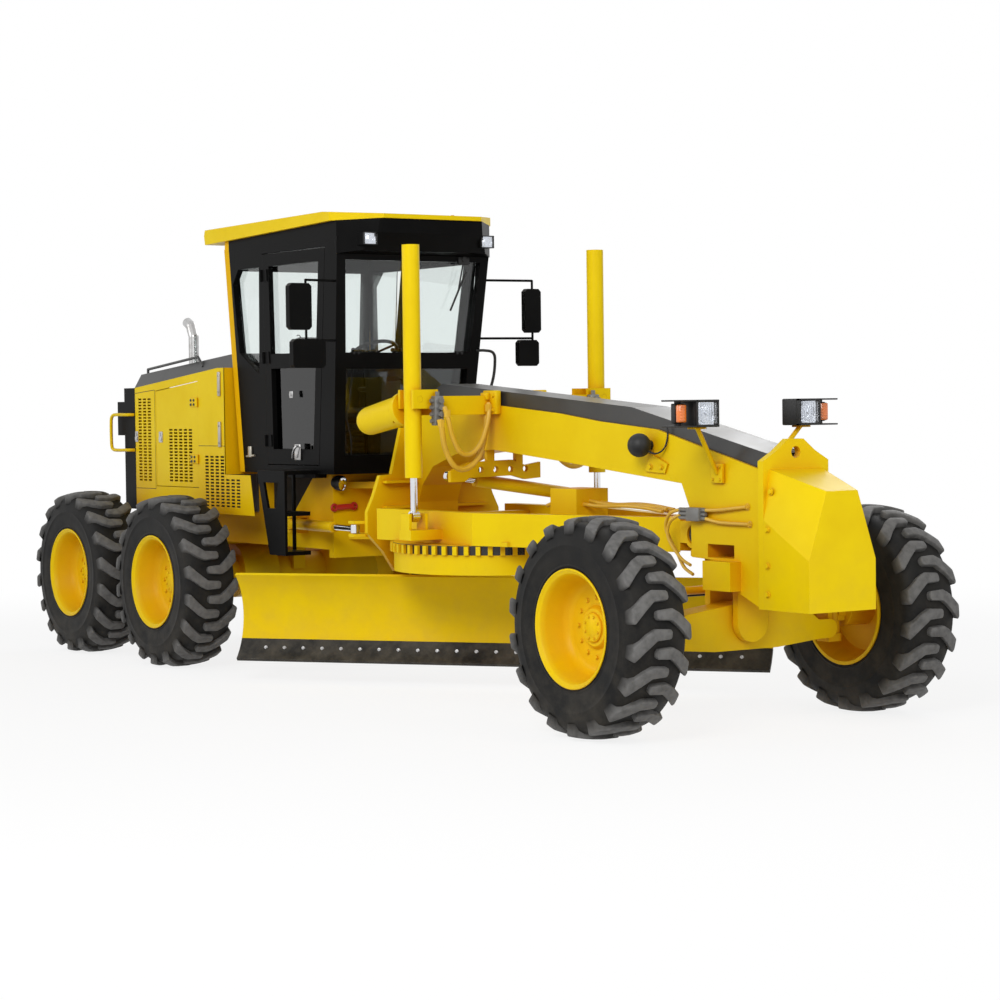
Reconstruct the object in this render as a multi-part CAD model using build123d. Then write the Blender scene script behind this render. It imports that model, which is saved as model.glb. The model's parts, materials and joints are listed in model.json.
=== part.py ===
"""Motor grader: tandem-drive rear chassis, articulated arched front frame, circle and moldboard.

Millimetres. +X points forward, +Y to the machine's left and +Z up. The origin is on the ground
under the middle of the machine's length. Places along the machine are measured rearward from the
front axle by behind(), from the middle of the circle by past_circle(), and from the articulation
pin by past_hitch(). Side -1 is the right side and side 1 the left.
"""
from build123d import *
from math import asin, atan2, cos, degrees, pi, radians, sin, sqrt
import os

# Stance
front_bay = 2550.0          # front axle to the middle of the circle
middle_bay = 1400.0         # middle of the circle to the articulation pin
rear_bay = 2350.0           # articulation pin to the tandem pivot
tandem_spacing = 1538.0     # middle wheel to rear wheel
track = 2130.0              # between the wheels' middle planes
nose_reach = 980.0          # front axle to the nose of the front weight
tyre_radius = 665.0
tyre_width = 430.0
rim_radius = 355.0
bead_radius = 330.0

# Running gaps
pin_gap = 0.5               # round a pin or shaft
face_gap = 0.5              # between faces that turn or slide on each other
swing_gap = 5.0             # between pieces that pass each other
seat_gap = 0.3              # where a loose piece lies on what carries it

wheelbase = front_bay + middle_bay + rear_bay
front_axle_x = (wheelbase + tandem_spacing / 2 + tyre_radius - nose_reach) / 2
axle_height = tyre_radius
wheel_y = track / 2
tandem_x = front_axle_x - wheelbase
circle_x = front_axle_x - front_bay
pivot_x = circle_x - middle_bay


def behind(distance):
    """Return the place along X that lies this far behind the front axle."""
    return front_axle_x - distance


def past_circle(distance):
    """Return the place along X that lies this far behind the middle of the circle."""
    return circle_x - distance


def past_hitch(distance):
    """Return the place along X that lies this far behind the articulation pin."""
    return pivot_x - distance


ball_x = behind(330)        # drawbar's universal joint
ball_z = 1165.0
lift_x = past_circle(-50)
lift_y = 775.0              # lift cylinders from the middle plane
trunnion_z = 2040.0
lift_pin_z = 1240.0
blade_angle = 53.0          # blade's line from the Y axis, seen from above

nodes = {}

# Shapes used everywhere


def block(x0, x1, y0, y1, z0, z1):
    """Return a box between opposite corners."""
    centre = Pos((x0 + x1) / 2, (y0 + y1) / 2, (z0 + z1) / 2)
    return centre * Box(abs(x1 - x0), abs(y1 - y0), abs(z1 - z0))


def side_plate(points, y0, y1):
    """Return a plate with its outline in X and Z and its thickness along Y."""
    start = Plane(origin=(0, max(y0, y1), 0), x_dir=(1, 0, 0), z_dir=(0, -1, 0))
    return extrude(start * Polygon(*points, align=None), abs(y1 - y0), dir=(0, -1, 0))


def cross_plate(points, x0, x1):
    """Return a plate with its outline in Y and Z and its thickness along X."""
    start = Plane(origin=(min(x0, x1), 0, 0), x_dir=(0, 1, 0), z_dir=(1, 0, 0))
    return extrude(start * Polygon(*points, align=None), abs(x1 - x0), dir=(1, 0, 0))


def level_plate(points, z0, z1):
    """Return a plate with its outline in X and Y and its thickness along Z."""
    start = Plane(origin=(0, 0, min(z0, z1)))
    return extrude(start * Polygon(*points, align=None), abs(z1 - z0), dir=(0, 0, 1))


def bar(start, end, radius):
    """Return a round bar between two points."""
    line = Vector(*end) - Vector(*start)
    foot = Plane(origin=start, z_dir=line)
    return foot * Cylinder(radius, line.length, align=(Align.CENTER, Align.CENTER, Align.MIN))


def pipe(points, radius):
    """Return a round bar that follows straight runs with mitred corners."""
    runs = [bar(a, b, radius) for a, b in zip(points, points[1:])]
    corners = [Pos(*p) * Sphere(radius) for p in points[1:-1]]
    return runs[0].fuse(*runs[1:], *corners)


def flip(shape):
    """Return the shape on the other side of the middle plane."""
    return mirror(shape, about=Plane.XZ)


def on_side(shape, side):
    """Return a shape drawn for the right side on the asked side."""
    return flip(shape) if side > 0 else shape


def both(shape):
    """Return a shape and its mirror image as one."""
    return shape + flip(shape)


def side_name(side):
    """Return the word for a side."""
    return "right" if side < 0 else "left"


# Wheels

lugs_each_side = 18
tyre_sides = lugs_each_side
carcass_half = tyre_width / 2 - 6
tread_half = 188.0
lug_half = 43.0
lug_slant = 24.0
lug_inner = -12.0
rim_sides = 24
rim_half = 205.0
rim_lip = 22.0
disc_y = 5.0                # disc's outer face from the wheel's middle plane
disc_thick = 18.0
hub_radius = 105.0
hub_cap_radius = 85.0
hub_face = 850.0            # hub's inner face from the machine's middle plane


def ring(profile, sides):
    """Return a solid of flat facets about the Y axis from a closed (y, radius) outline."""
    def corner(j, i):
        """Return a corner of the outline turned to one of the facets' edges."""
        y, r = profile[j % len(profile)]
        r = r / cos(pi / sides)
        a = 2 * pi * (i + 0.5) / sides
        return (r * sin(a), y, r * cos(a))
    faces = []
    for i in range(sides):
        for j in range(len(profile)):
            quad = [corner(j, i), corner(j + 1, i), corner(j + 1, i + 1), corner(j, i + 1)]
            if profile[j][1] == 0 and profile[(j + 1) % len(profile)][1] == 0:
                continue
            if profile[j][1] == 0:
                quad = quad[:3]
            elif profile[(j + 1) % len(profile)][1] == 0:
                quad = [quad[0], quad[1], quad[3]]
            faces.append(Face(Wire.make_polygon(quad)))
    return Solid(Shell(faces))


slant = radians(lug_slant)
lug_reach = lug_half * cos(slant) + (tread_half / 2 - lug_inner) * sin(slant)
lug_shoulder = tread_half / 2 + (tyre_width / 2 - tread_half / 2 - lug_half * sin(slant)) / cos(slant)


def lug_outline():
    """Return one lug's outline along Y and radially, on the +Y half of the tread."""
    crown = sqrt(tyre_radius ** 2 - lug_reach ** 2)
    return [
        (lug_inner, crown - 60),
        (lug_inner, crown),
        (lug_shoulder, crown - 18),
        (tread_half - 16, crown - 110),
    ]


def make_tyre():
    """Return a tyre about the Y axis, its lugs fused to a faceted carcass."""
    carcass = ring([
        (-rim_half + 20, bead_radius),
        (-carcass_half, bead_radius + 150),
        (-tread_half, tyre_radius - 40),
        (tread_half, tyre_radius - 40),
        (carcass_half, bead_radius + 150),
        (rim_half - 20, bead_radius),
    ], tyre_sides)
    start = Plane(origin=(-lug_half, 0, 0), x_dir=(0, 1, 0), z_dir=(1, 0, 0))
    outer = extrude(start * Polygon(*lug_outline(), align=None), 2 * lug_half, dir=(1, 0, 0))
    outer = Pos(0, tread_half / 2, 0) * Rot(0, 0, -lug_slant) * Pos(0, -tread_half / 2, 0) * outer
    inner = mirror(outer, about=Plane.XZ)
    lugs = []
    for k in range(lugs_each_side):
        pitch = 360 / lugs_each_side
        lugs.append(Rot(0, k * pitch, 0) * outer)
        lugs.append(Rot(0, (k + 0.5) * pitch, 0) * inner)
    # a lug's outermost corner stands exactly on the ground
    return Rot(0, degrees(asin(lug_reach / tyre_radius)), 0) * carcass.fuse(*lugs)


def make_rim():
    """Return a deep-dished rim with its outer face towards +Y."""
    seat = bead_radius * cos(pi / rim_sides) - pin_gap
    hub_back = hub_face + face_gap - wheel_y
    return ring([
        (rim_half, rim_radius),
        (rim_half, rim_radius - rim_lip),
        (disc_y, 275),
        (disc_y, hub_radius),
        (disc_y + 45, hub_cap_radius),
        (disc_y + 45, 0),
        (hub_back, 0),
        (hub_back, hub_radius),
        (disc_y - disc_thick, hub_radius),
        (disc_y - disc_thick, 275),
        (-rim_half, rim_radius - rim_lip),
        (-rim_half, rim_radius),
        (-rim_half + 20, seat),
        (rim_half - 20, seat),
    ], rim_sides)


def wheels():
    """Place six rims and six tyres; the rear tyres point their lugs the other way."""
    tyre = make_tyre()
    rim = make_rim()
    places = {
        "front": (front_axle_x, 1),
        "middle": (tandem_x + tandem_spacing / 2, -1),
        "rear": (tandem_x - tandem_spacing / 2, -1),
    }
    for place, (x, tread) in places.items():
        for side in (-1, 1):
            turned = tyre if tread * side > 0 else Rot(0, 0, 180) * tyre
            if tread < 0:
                turned = mirror(turned, about=Plane.YZ)
                turned = Rot(0, 0, 180) * turned
            spot = Pos(x, side * wheel_y, axle_height)
            nodes[f"tyre_{place}_{side_name(side)}"] = spot * turned
            nodes[f"rim_{place}_{side_name(side)}"] = spot * (rim if side > 0 else Rot(0, 0, 180) * rim)


# Rear chassis

rail_in = 320.0
rail_out = 430.0
rail_bottom = 930.0
rail_top = 1170.0
rail_rear = past_hitch(3300)
bulkhead_x = past_hitch(230)
bulkhead_top = 1500.0
pin_radius = 45.0
tongue_half = 110.0
tongue_bottom = 1060.0
tongue_top = 1380.0
ear_thick = 50.0
artic_rear_x = pivot_x - 677
artic_rear_y = 525.0
artic_front_x = pivot_x + 385
artic_front_y = 610.0
artic_z = 1115.0
artic_pin_radius = 20.0
cab_floor_z = 1500.0


def rear_frame():
    """Two box rails, cross members, the hitch with its pin, and the cab's supports."""
    body = both(block(rail_rear, bulkhead_x, rail_in, rail_out, rail_bottom, rail_top))
    body += block(rail_rear, rail_rear + 90, -rail_out, rail_out, rail_bottom - 150, rail_top)
    body += block(tandem_x - 90, tandem_x + 90, -rail_in, rail_in, rail_bottom, rail_top)
    body += block(bulkhead_x - 70, bulkhead_x, -rail_out, rail_out, rail_bottom - 60, bulkhead_top)
    gusset = [
        (bulkhead_x - 70, rail_top),
        (bulkhead_x - 70, bulkhead_top),
        (bulkhead_x - 260, bulkhead_top),
        (bulkhead_x - 620, rail_top),
    ]
    body += both(side_plate(gusset, rail_out - 25, rail_out))
    for z0 in (tongue_bottom - swing_gap - ear_thick, tongue_top + swing_gap):
        ear = level_plate([
            (bulkhead_x, -300),
            (bulkhead_x, 300),
            (pivot_x, 125),
            (pivot_x, -125),
        ], z0, z0 + ear_thick)
        ear += Pos(pivot_x, 0, z0 + ear_thick / 2) * Cylinder(125, ear_thick)
        body += ear
    pin_bottom = tongue_bottom - swing_gap - ear_thick - 25
    pin_top = tongue_top + swing_gap + ear_thick + 25
    body += bar((pivot_x, 0, pin_bottom), (pivot_x, 0, pin_top), pin_radius)
    # lugs that carry the articulation cylinders' barrels
    for z0 in (artic_z - 70, artic_z + 45):
        lug = block(artic_rear_x - 60, artic_rear_x + 60, rail_out - 5, artic_rear_y, z0, z0 + 25)
        lug += Pos(artic_rear_x, artic_rear_y, z0 + 12.5) * Cylinder(50, 25)
        body += both(lug)
    pin_ends = [(artic_rear_x, artic_rear_y, artic_z + step) for step in (-70, 70)]
    pin = bar(*pin_ends, artic_pin_radius)
    body += both(pin)
    # posts under the cab's rear edge
    post = block(past_hitch(1380), past_hitch(1280), rail_out - 80, rail_out, rail_top, cab_floor_z)
    body += both(post)
    nodes["rear_frame"] = body


tandem_in = 650.0
tandem_out = 800.0
tandem_half = 190.0


def rear_axle():
    """Axle housing with its differential, saddle pads and the two tandem cases."""
    body = bar((tandem_x, -tandem_in, axle_height), (tandem_x, tandem_in, axle_height), 130)
    body += Pos(tandem_x, 0, axle_height) * Rot(90, 0, 0) * Cylinder(220, 320)
    pad = block(tandem_x - 170, tandem_x + 170, rail_in, rail_out, axle_height, rail_bottom)
    body += both(pad)
    slot = Plane(origin=(tandem_x, tandem_out, axle_height), x_dir=(1, 0, 0), z_dir=(0, -1, 0))
    case_side = slot * SlotCenterToCenter(tandem_spacing, 2 * tandem_half)
    case = extrude(case_side, tandem_out - tandem_in, dir=(0, -1, 0))
    for end in (-1, 1):
        x = tandem_x + end * tandem_spacing / 2
        case += bar((x, tandem_out, axle_height), (x, hub_face, axle_height), 120)
    body += both(case)
    nodes["rear_axle"] = body


# Hood and what stands round the engine

hood_half = 695.0
hood_wall = 4.0
hood_rear = past_hitch(3010)
hood_kink = past_hitch(1540)
hood_front = past_hitch(1434)
hood_bottom = 1170.0
hood_rear_top = 2173.0
hood_top_z = 2311.0
top_inset = 150.0
top_rise = 110.0
skirt_front = past_hitch(1030)
skirt_top = 1480.0


def engine():
    """Engine and gearbox as one plain block between the rails."""
    nodes["engine"] = block(past_hitch(2750), past_hitch(1650), -rail_in + 20, rail_in - 20, rail_top, 1900)


door_gap = 5.0
side_door_rear = past_hitch(2625)
side_door_front = past_hitch(1880)
side_door_low = 1367.0
side_door_rear_top = 2145.0
side_door_front_top = 2215.0
side_door_thick = 20.0
side_door_rim = 30.0
side_hinge_radius = 9.0
side_hinge_out = side_hinge_radius + seat_gap   # hinge line outside the hood's side
side_hinges = [(2010.0, 2080.0), (1560.0, 1630.0)]
slot_wide = 58.0
slot_high = 18.0
slot_pitch_x = 86.0
slot_pitch_z = 51.0
# each field of slots: rearmost slot's place, columns, rows and lowest slot's height
rear_slots = (past_hitch(2946), 3, 14, 1408.0)
door_slots = (past_hitch(2389), 5, 8, 1412.0)
skirt_slots = (past_hitch(1769), 7, 8, 1227.0)


def slots(field, y0, y1):
    """Return a field of slots to cut through a side panel, column by column."""
    first, columns, rows, low = field
    cuts = []
    for c in range(columns):
        for r in range(rows):
            x = first + c * slot_pitch_x
            z = low + r * slot_pitch_z
            above_skirt = x + slot_wide > hood_front and z + slot_high > skirt_top - 20
            if not above_skirt:
                cuts.append(block(x, x + slot_wide, y0, y1, z, z + slot_high))
    return cuts


def side_door(gap, hinge_gap):
    """Return the side door's outline drawn in by a gap, with another gap at its hinges."""
    return [
        (side_door_rear + gap, side_door_low + gap),
        (side_door_rear + gap, side_door_rear_top - gap),
        (side_door_front - hinge_gap, side_door_front_top - gap),
        (side_door_front - hinge_gap, side_door_low + gap),
    ]


def hood():
    """Side walls with door openings, the front skirt under the cab, and cross walls."""
    outline = [
        (hood_rear, hood_bottom),
        (hood_rear, hood_rear_top),
        (hood_kink, hood_top_z),
        (hood_front, hood_top_z),
        (hood_front, skirt_top),
        (skirt_front, skirt_top),
        (skirt_front + 60, hood_bottom),
    ]
    inside = -hood_half + hood_wall
    wall = side_plate(outline, -hood_half, inside)
    wall -= side_plate(side_door(0, 0), -hood_half - 1, inside + 1)
    for field in (rear_slots, skirt_slots):
        wall = wall.cut(*slots(field, -hood_half - 1, inside + 1))
    body = both(wall)
    body += block(hood_rear, hood_rear + hood_wall, -hood_half, hood_half, hood_bottom, hood_rear_top)
    body += block(hood_front - hood_wall, hood_front, -hood_half, hood_half, skirt_top, hood_top_z)
    nodes["hood"] = body


def engine_doors():
    """Slotted side doors, pressed round their edges and hinged at the front."""
    inside = -hood_half + hood_wall
    leaf = side_plate(side_door(door_gap, seat_gap), -hood_half, -hood_half + side_door_thick)
    pocket = side_door(door_gap + side_door_rim, side_door_rim)
    leaf -= side_plate(pocket, inside, -hood_half + side_door_thick + 1)
    leaf = leaf.cut(*slots(door_slots, -hood_half - 1, inside + 1))
    hinge_y = -hood_half - side_hinge_out
    for z0, z1 in side_hinges:
        leaf += block(side_door_front - 130, side_door_front - seat_gap, -hood_half - 6, -hood_half, z0, z1)
        leaf += bar((side_door_front, hinge_y, z0), (side_door_front, hinge_y, z1), side_hinge_radius)
    for side in (-1, 1):
        nodes[f"engine_door_{side_name(side)}"] = on_side(leaf, side)


def bonnet_form():
    """Return the bonnet top as a full block, before it is chamfered and hollowed."""
    edge = [(hood_rear, hood_rear_top), (hood_kink, hood_top_z), (hood_front, hood_top_z)]
    return side_plate(edge + [(x, z + top_rise) for x, z in edge[::-1]], -hood_half, hood_half)


grab_rail_y = 600.0
grab_rail_radius = 11.0


def hood_top():
    """Dark bonnet top with chamfered edges, standing on the side walls, and its grab rails."""
    edge = [(hood_rear, hood_rear_top), (hood_kink, hood_top_z), (hood_front, hood_top_z)]
    body = bonnet_form()
    hollow = [(x, z - 1) for x, z in edge] + [(x, z + top_rise - 6) for x, z in edge[::-1]]
    body -= side_plate(hollow, -hood_half + top_inset, hood_half - top_inset)
    for side in (-1, 1):
        y = side * hood_half
        wedge = cross_plate([
            (y, hood_rear_top),
            (y, hood_top_z + top_rise + 10),
            (y - side * top_inset, hood_top_z + top_rise + 10),
        ], hood_rear - 1, hood_front + 1)
        body -= wedge
    rail = pipe([
        (past_hitch(2945), -grab_rail_y, 2215),
        (past_hitch(2945), -grab_rail_y, 2325),
        (past_hitch(2045), -grab_rail_y, 2408),
        (past_hitch(1960), -grab_rail_y, 2330),
    ], grab_rail_radius)
    body += both(rail)
    nodes["hood_top"] = body


def rear_guard():
    """Black radiator surround with a cooling opening, and the tail lamps' boxes on its sides."""
    x0 = past_hitch(3230)
    body = block(x0, hood_rear, -hood_half + 10, hood_half - 10, hood_bottom, hood_rear_top)
    body -= block(x0 - 1, hood_rear + 1, -hood_half + 130, hood_half - 130, 1230, 2020)
    for k in range(9):
        z = 1280 + k * 85
        body += block(x0 + 30, x0 + 50, -hood_half + 130, hood_half - 130, z, z + 18)
    lamp = block(x0 - 130, x0 + 60, hood_half - 190, hood_half - 10, 1780, 2060)
    body += both(lamp)
    nodes["rear_guard"] = body


def exhaust():
    """Bright stack that rises from the bonnet and curves rearward."""
    x = past_hitch(2700)
    y = -300
    foot = hood_rear_top + top_rise - 2
    body = pipe([(x, y, foot), (x, y, 2590), (x - 45, y, 2680), (x - 110, y, 2712)], 42)
    body -= bonnet_form()
    nodes["exhaust"] = body


# Cab

cab_half_low = 586.0
cab_half_high = 664.0
cab_top_z = 3225.0
cab_wall = 45.0
cab_front_low = past_hitch(-50)
cab_front_high = past_hitch(-281)
cab_rear_low = past_hitch(1390)
cab_rear_high = past_hitch(1450)
door_rear_low = past_hitch(940)
door_rear_high = past_hitch(850)
door_front_low = past_hitch(160)
door_front_high = past_hitch(-110)
cab_door_low = 1560.0
cab_door_high = 3160.0
door_clear = 6.0
glass_thick = 8.0
roof_rear = past_hitch(1700)
roof_front = past_hitch(-530)
roof_half = 700.0
roof_top = cab_top_z + 183
roof_rear_under = cab_top_z + 50
roof_front_under = cab_top_z + 122
fascia_lamp_y = 504.0
fascia_lamp_low = 3155.0


def lean_to(z, low, high):
    """Return a value that goes from low at the cab's floor to high at its top."""
    return low + (high - low) * (z - cab_floor_z) / (cab_top_z - cab_floor_z)


def cab_half(z):
    """Return the cab's half width at a height."""
    return lean_to(z, cab_half_low, cab_half_high)


def cab_front(z):
    """Return the place of the cab's front face at a height."""
    return lean_to(z, cab_front_low, cab_front_high)


def cab_rear(z):
    """Return the place of the cab's rear face at a height."""
    return lean_to(z, cab_rear_low, cab_rear_high)


def door_rear(z):
    """Return the place of the cab door's rear edge at a height."""
    return lean_to(z, door_rear_low, door_rear_high)


def door_front(z):
    """Return the place of the cab door's front edge at a height."""
    return lean_to(z, door_front_low, door_front_high)


def cab_shell(inset, z0, z1):
    """Return the cab's outer form drawn in by an inset, between two heights."""
    side = [
        (cab_rear(z0) + inset, z0),
        (cab_rear(z1) + inset, z1),
        (cab_front(z1) - inset, z1),
        (cab_front(z0) - inset, z0),
    ]
    end = [
        (-cab_half(z0) + inset, z0),
        (-cab_half(z1) + inset, z1),
        (cab_half(z1) - inset, z1),
        (cab_half(z0) - inset, z0),
    ]
    return side_plate(side, -1000, 1000) & cross_plate(end, past_hitch(3050), past_hitch(-950))


def side_wall(outline, inset, thick):
    """Return a slanting side panel on the right, its outline in X and Z."""
    skin = cab_shell(inset, cab_floor_z, cab_top_z) - cab_shell(inset + thick, cab_floor_z, cab_top_z)
    return skin & side_plate(outline, -1000, 0)


def door_outline(inset, hinge_gap=0):
    """Return the doorway, or the door in it with a gap all round and another at its hinges."""
    return [
        (door_rear(cab_door_low + inset) + hinge_gap, cab_door_low + inset),
        (door_rear(cab_door_high - inset) + hinge_gap, cab_door_high - inset),
        (door_front(cab_door_high) - inset, cab_door_high - inset),
        (door_front(cab_door_low) - inset, cab_door_low + inset),
    ]


quarter_window = [
    (cab_rear_low + 100, 2420),
    (cab_rear_high + 110, 2950),
    (cab_rear_high + 210, 3060),
    (door_rear_high - 60, 3060),
    (door_rear_low - 55, 2250),
]

door_windows = [
    (2400.0, 3060.0),
    (1680.0, 2290.0),
]


def window_outline(z0, z1, inset):
    return [
        (door_rear(z0) + inset, z0),
        (door_rear(z1) + inset, z1),
        (door_front(z1) - inset, z1),
        (door_front(z0) - inset, z0),
    ]


# windscreen openings: half-widths at the bottom and top, then bottom and top heights
front_windows = [
    (540.0, 585.0, 2390.0, 3060.0),
    (500.0, 530.0, 1640.0, 2270.0),
]


def cab_frame():
    """Pillars, floor, sills and the lower panels, with every window and doorway cut."""
    body = cab_shell(0, cab_floor_z, cab_top_z)
    body -= cab_shell(cab_wall, cab_floor_z + 40, cab_top_z - 50)
    body -= side_plate(door_outline(0), -1000, 1000)
    body -= side_plate(quarter_window, -1000, 1000)
    for low, high, z0, z1 in front_windows:
        outline = [(-low, z0), (-high, z1), (high, z1), (low, z0)]
        body -= cross_plate(outline, past_hitch(250), past_hitch(-550))
    rear_window = [(-520, 2420), (-560, 3060), (560, 3060), (520, 2420)]
    body -= cross_plate(rear_window, past_hitch(1650), past_hitch(1250))
    body += steps()
    body += flip(steps())
    body += fascia()
    body = body.fuse(*mirrors_and_brackets())
    nodes["cab_frame"] = body


def steps():
    """Black boarding steps that hang from the cab's floor on the right."""
    x0 = past_hitch(610)
    x1 = past_hitch(200)
    y0 = -860
    y1 = -645
    tread = block(x0, x1, y0, -520, cab_floor_z, cab_floor_z + 30)
    tread += block(x0, x1, -600, -500, cab_floor_z - 30, cab_floor_z + 30)
    leg = side_plate([(x0, cab_floor_z), (x1, cab_floor_z), (x1, 905), (x0 + 170, 905)], y0, y0 + 20)
    opening = [(x0 + 90, 1440), (x1 - 90, 1440), (x1 - 140, 1250), (x0 + 150, 1250)]
    leg -= side_plate(opening, y0 - 1, y0 + 21)
    treads = block(x0 + 160, x1, y0, y1, 1195, 1225)
    treads += block(x0 + 170, x1, y0, y1, 905, 935)
    hanger = block(x0 + 170, x0 + 195, y1 - 20, y1, 905, cab_floor_z)
    return tread + leg + treads + hanger


cab_hinge_radius = 12.0
cab_hinge_out = cab_hinge_radius + 0.35         # hinge line outside the cab's side
cab_hinges = [(1700.0, 1790.0), (2330.0, 2420.0), (2950.0, 3040.0)]
cab_strap = 8.0


def cab_doors():
    """Door leaves with two windows and three hinges, and the glass that lines them."""
    leaf = side_wall(door_outline(door_clear, seat_gap), 0, cab_wall - 5)
    for z0, z1 in door_windows:
        leaf -= side_plate(window_outline(z0, z1, 95), -1000, 0)
    for z0, z1 in cab_hinges:
        strap = side_wall([
            (door_rear(z1) + 1, z0),
            (door_rear(z1) + 1, z1),
            (door_rear(z1) + 75, z1),
            (door_rear(z1) + 75, z0),
        ], -cab_strap, cab_strap + 2)
        ends = [(door_rear(z), -cab_half(z) - cab_hinge_out, z) for z in (z0, z1)]
        leaf += strap
        leaf += bar(ends[0], ends[1], cab_hinge_radius)
    low = door_windows[1][0] - 15
    high = door_windows[0][1] + 15
    pane = side_wall(window_outline(low, high, 80), cab_wall - 5, glass_thick)
    for side in (-1, 1):
        nodes[f"cab_door_{side_name(side)}"] = on_side(leaf, side)
        nodes[f"door_glass_{side_name(side)}"] = on_side(pane, side)


def cab_glass():
    """Windscreen inside the front pillars, and rear glass with the two quarter windows."""
    skin = cab_shell(cab_wall, 1620, 3080) - cab_shell(cab_wall + glass_thick, 1610, 3090)
    front = skin & block(past_hitch(150), past_hitch(-450), -575, 575, 1600, 3100)
    outline = [(-530, 1620), (-590, 3080), (590, 3080), (530, 1620)]
    nodes["windscreen"] = front & cross_plate(outline, past_hitch(150), past_hitch(-450))
    band = cab_shell(cab_wall, 2230, 3080) - cab_shell(cab_wall + glass_thick, 2220, 3090)
    nodes["rear_glass"] = band & block(past_hitch(1550), door_rear_low - 20, -700, 700, 2200, 3100)




def roof_corner(side):
    """Return the wedge that is cut from a front corner of the roof or fascia."""
    return level_plate([
        (roof_front + 1, side * 418),
        (roof_front + 1, side * (roof_half + 1)),
        (past_hitch(-230), side * (roof_half + 1)),
    ], cab_door_high - 200, roof_top + 100)


def roof_under(x):
    """Return the height of the roof's underside at a place along the machine."""
    share = (x - roof_rear) / (roof_front - roof_rear)
    return roof_rear_under + (roof_front_under - roof_rear_under) * share


def cab_roof():
    """Yellow roof slab, thick at the rear and thin in front, with its lifting eyes."""
    outline = [
        (roof_rear, roof_rear_under),
        (roof_rear - 15, roof_rear_under + 70),
        (roof_rear, roof_top - 18),
        (past_hitch(-130), roof_top),
        (roof_front, roof_front_under + 32),
        (roof_front, roof_front_under),
    ]
    body = side_plate(outline, -roof_half, roof_half)
    for side in (-1, 1):
        body -= roof_corner(side)
    eyes = [
        (past_hitch(1500), -480), (past_hitch(1500), 480),
        (past_hitch(400), -480), (past_hitch(-50), 480),
    ]
    for x, y in eyes:
        body += bar((x, y, roof_top - 40), (x, y, roof_top + 17), 12)
    nodes["cab_roof"] = body


def fascia():
    """Black band between the cab's walls and the roof, leaning out to the roof's front edge."""
    rear = past_hitch(1440)
    front = roof_front - 20
    outline = [
        (rear, cab_top_z - 20),
        (rear, roof_under(rear) - seat_gap),
        (front, roof_under(front) - seat_gap),
        (front - 15, cab_top_z + 20),
        (front - 95, 3120),
        (cab_front(3100) - 2, 3100),
        (cab_front(cab_top_z) - 40, cab_top_z - 20),
    ]
    body = side_plate(outline, -cab_half_high, cab_half_high)
    for side in (-1, 1):
        body -= roof_corner(side)
        y = side * fascia_lamp_y
        body += block(front - 140, front - 40, y - 55, y + 55, fascia_lamp_low, fascia_lamp_low + 90)
    return body


mirror_x = past_hitch(-270)
# each mirror: side, inner and outer edge from the middle plane, bottom and top
mirrors = [
    (-1, 895.0, 1077.0, 2548.0, 2881.0),
    (-1, 784.0, 1052.0, 2276.0, 2483.0),
    (1, 963.0, 1105.0, 2538.0, 2870.0),
    (1, 902.0, 1083.0, 2287.0, 2484.0),
]
# each bracket: side, and its corners out from the cab's pillar and down past both mirrors
brackets = [
    (-1, 2906.0, 2477.0, 925.0),
    (1, 2932.0, 2497.0, 1046.0),
]
bracket_radius = 9.0


def mirrors_and_brackets():
    """Two mirrors on each side, on a bent tube that starts and ends in the front pillar."""
    pieces = []
    for side, high, low, reach in brackets:
        root_high = (mirror_x - 60, side * (cab_half(high) - 12), high)
        root_low = (mirror_x - 110, side * (cab_half(low) - 12), low)
        corner_high = (mirror_x, side * reach, high)
        corner_low = (mirror_x, side * reach, low)
        foot = (mirror_x, side * reach, 2300)
        pieces.append(pipe([root_high, corner_high, corner_low, root_low], bracket_radius))
        pieces.append(pipe([corner_low, foot], bracket_radius))
    for side, y0, y1, z0, z1 in mirrors:
        head = block(mirror_x - 22, mirror_x + 33, side * y0, side * y1, z0, z1)
        pieces.append(chamfer(head.edges().filter_by(Axis.X), 22))
    return pieces


def cab_interior():
    """Seat, steering column with its wheel and the control consoles, all on one floor plate."""
    floor = cab_floor_z + 40
    body = block(past_hitch(1150), past_hitch(150), -350, 350, floor, floor + 10)
    body += block(past_hitch(1000), past_hitch(750), -170, 170, floor + 10, floor + 330)
    body += block(past_hitch(1060), past_hitch(550), -240, 240, floor + 330, floor + 450)
    back = [
        (past_hitch(1060), floor + 450),
        (past_hitch(1160), floor + 1080),
        (past_hitch(1060), floor + 1100),
        (past_hitch(950), floor + 450),
    ]
    body += side_plate(back, -230, 230)
    body += side_plate([
        (past_hitch(300), floor + 10),
        (past_hitch(380), floor + 800),
        (past_hitch(290), floor + 820),
        (past_hitch(160), floor + 10),
    ], -90, 90)
    top = Plane(origin=(past_hitch(350), 0, floor + 850), z_dir=(-0.5, 0, 0.87))
    body += top * Cylinder(200, 26)
    body += bar((past_hitch(320), 0, floor + 760), (past_hitch(350), 0, floor + 850), 35)
    nodes["cab_interior"] = body


# Front frame

beam_half = 170.0
leg_plate_x = past_hitch(-450)
leg_plate_thick = 40.0


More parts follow.
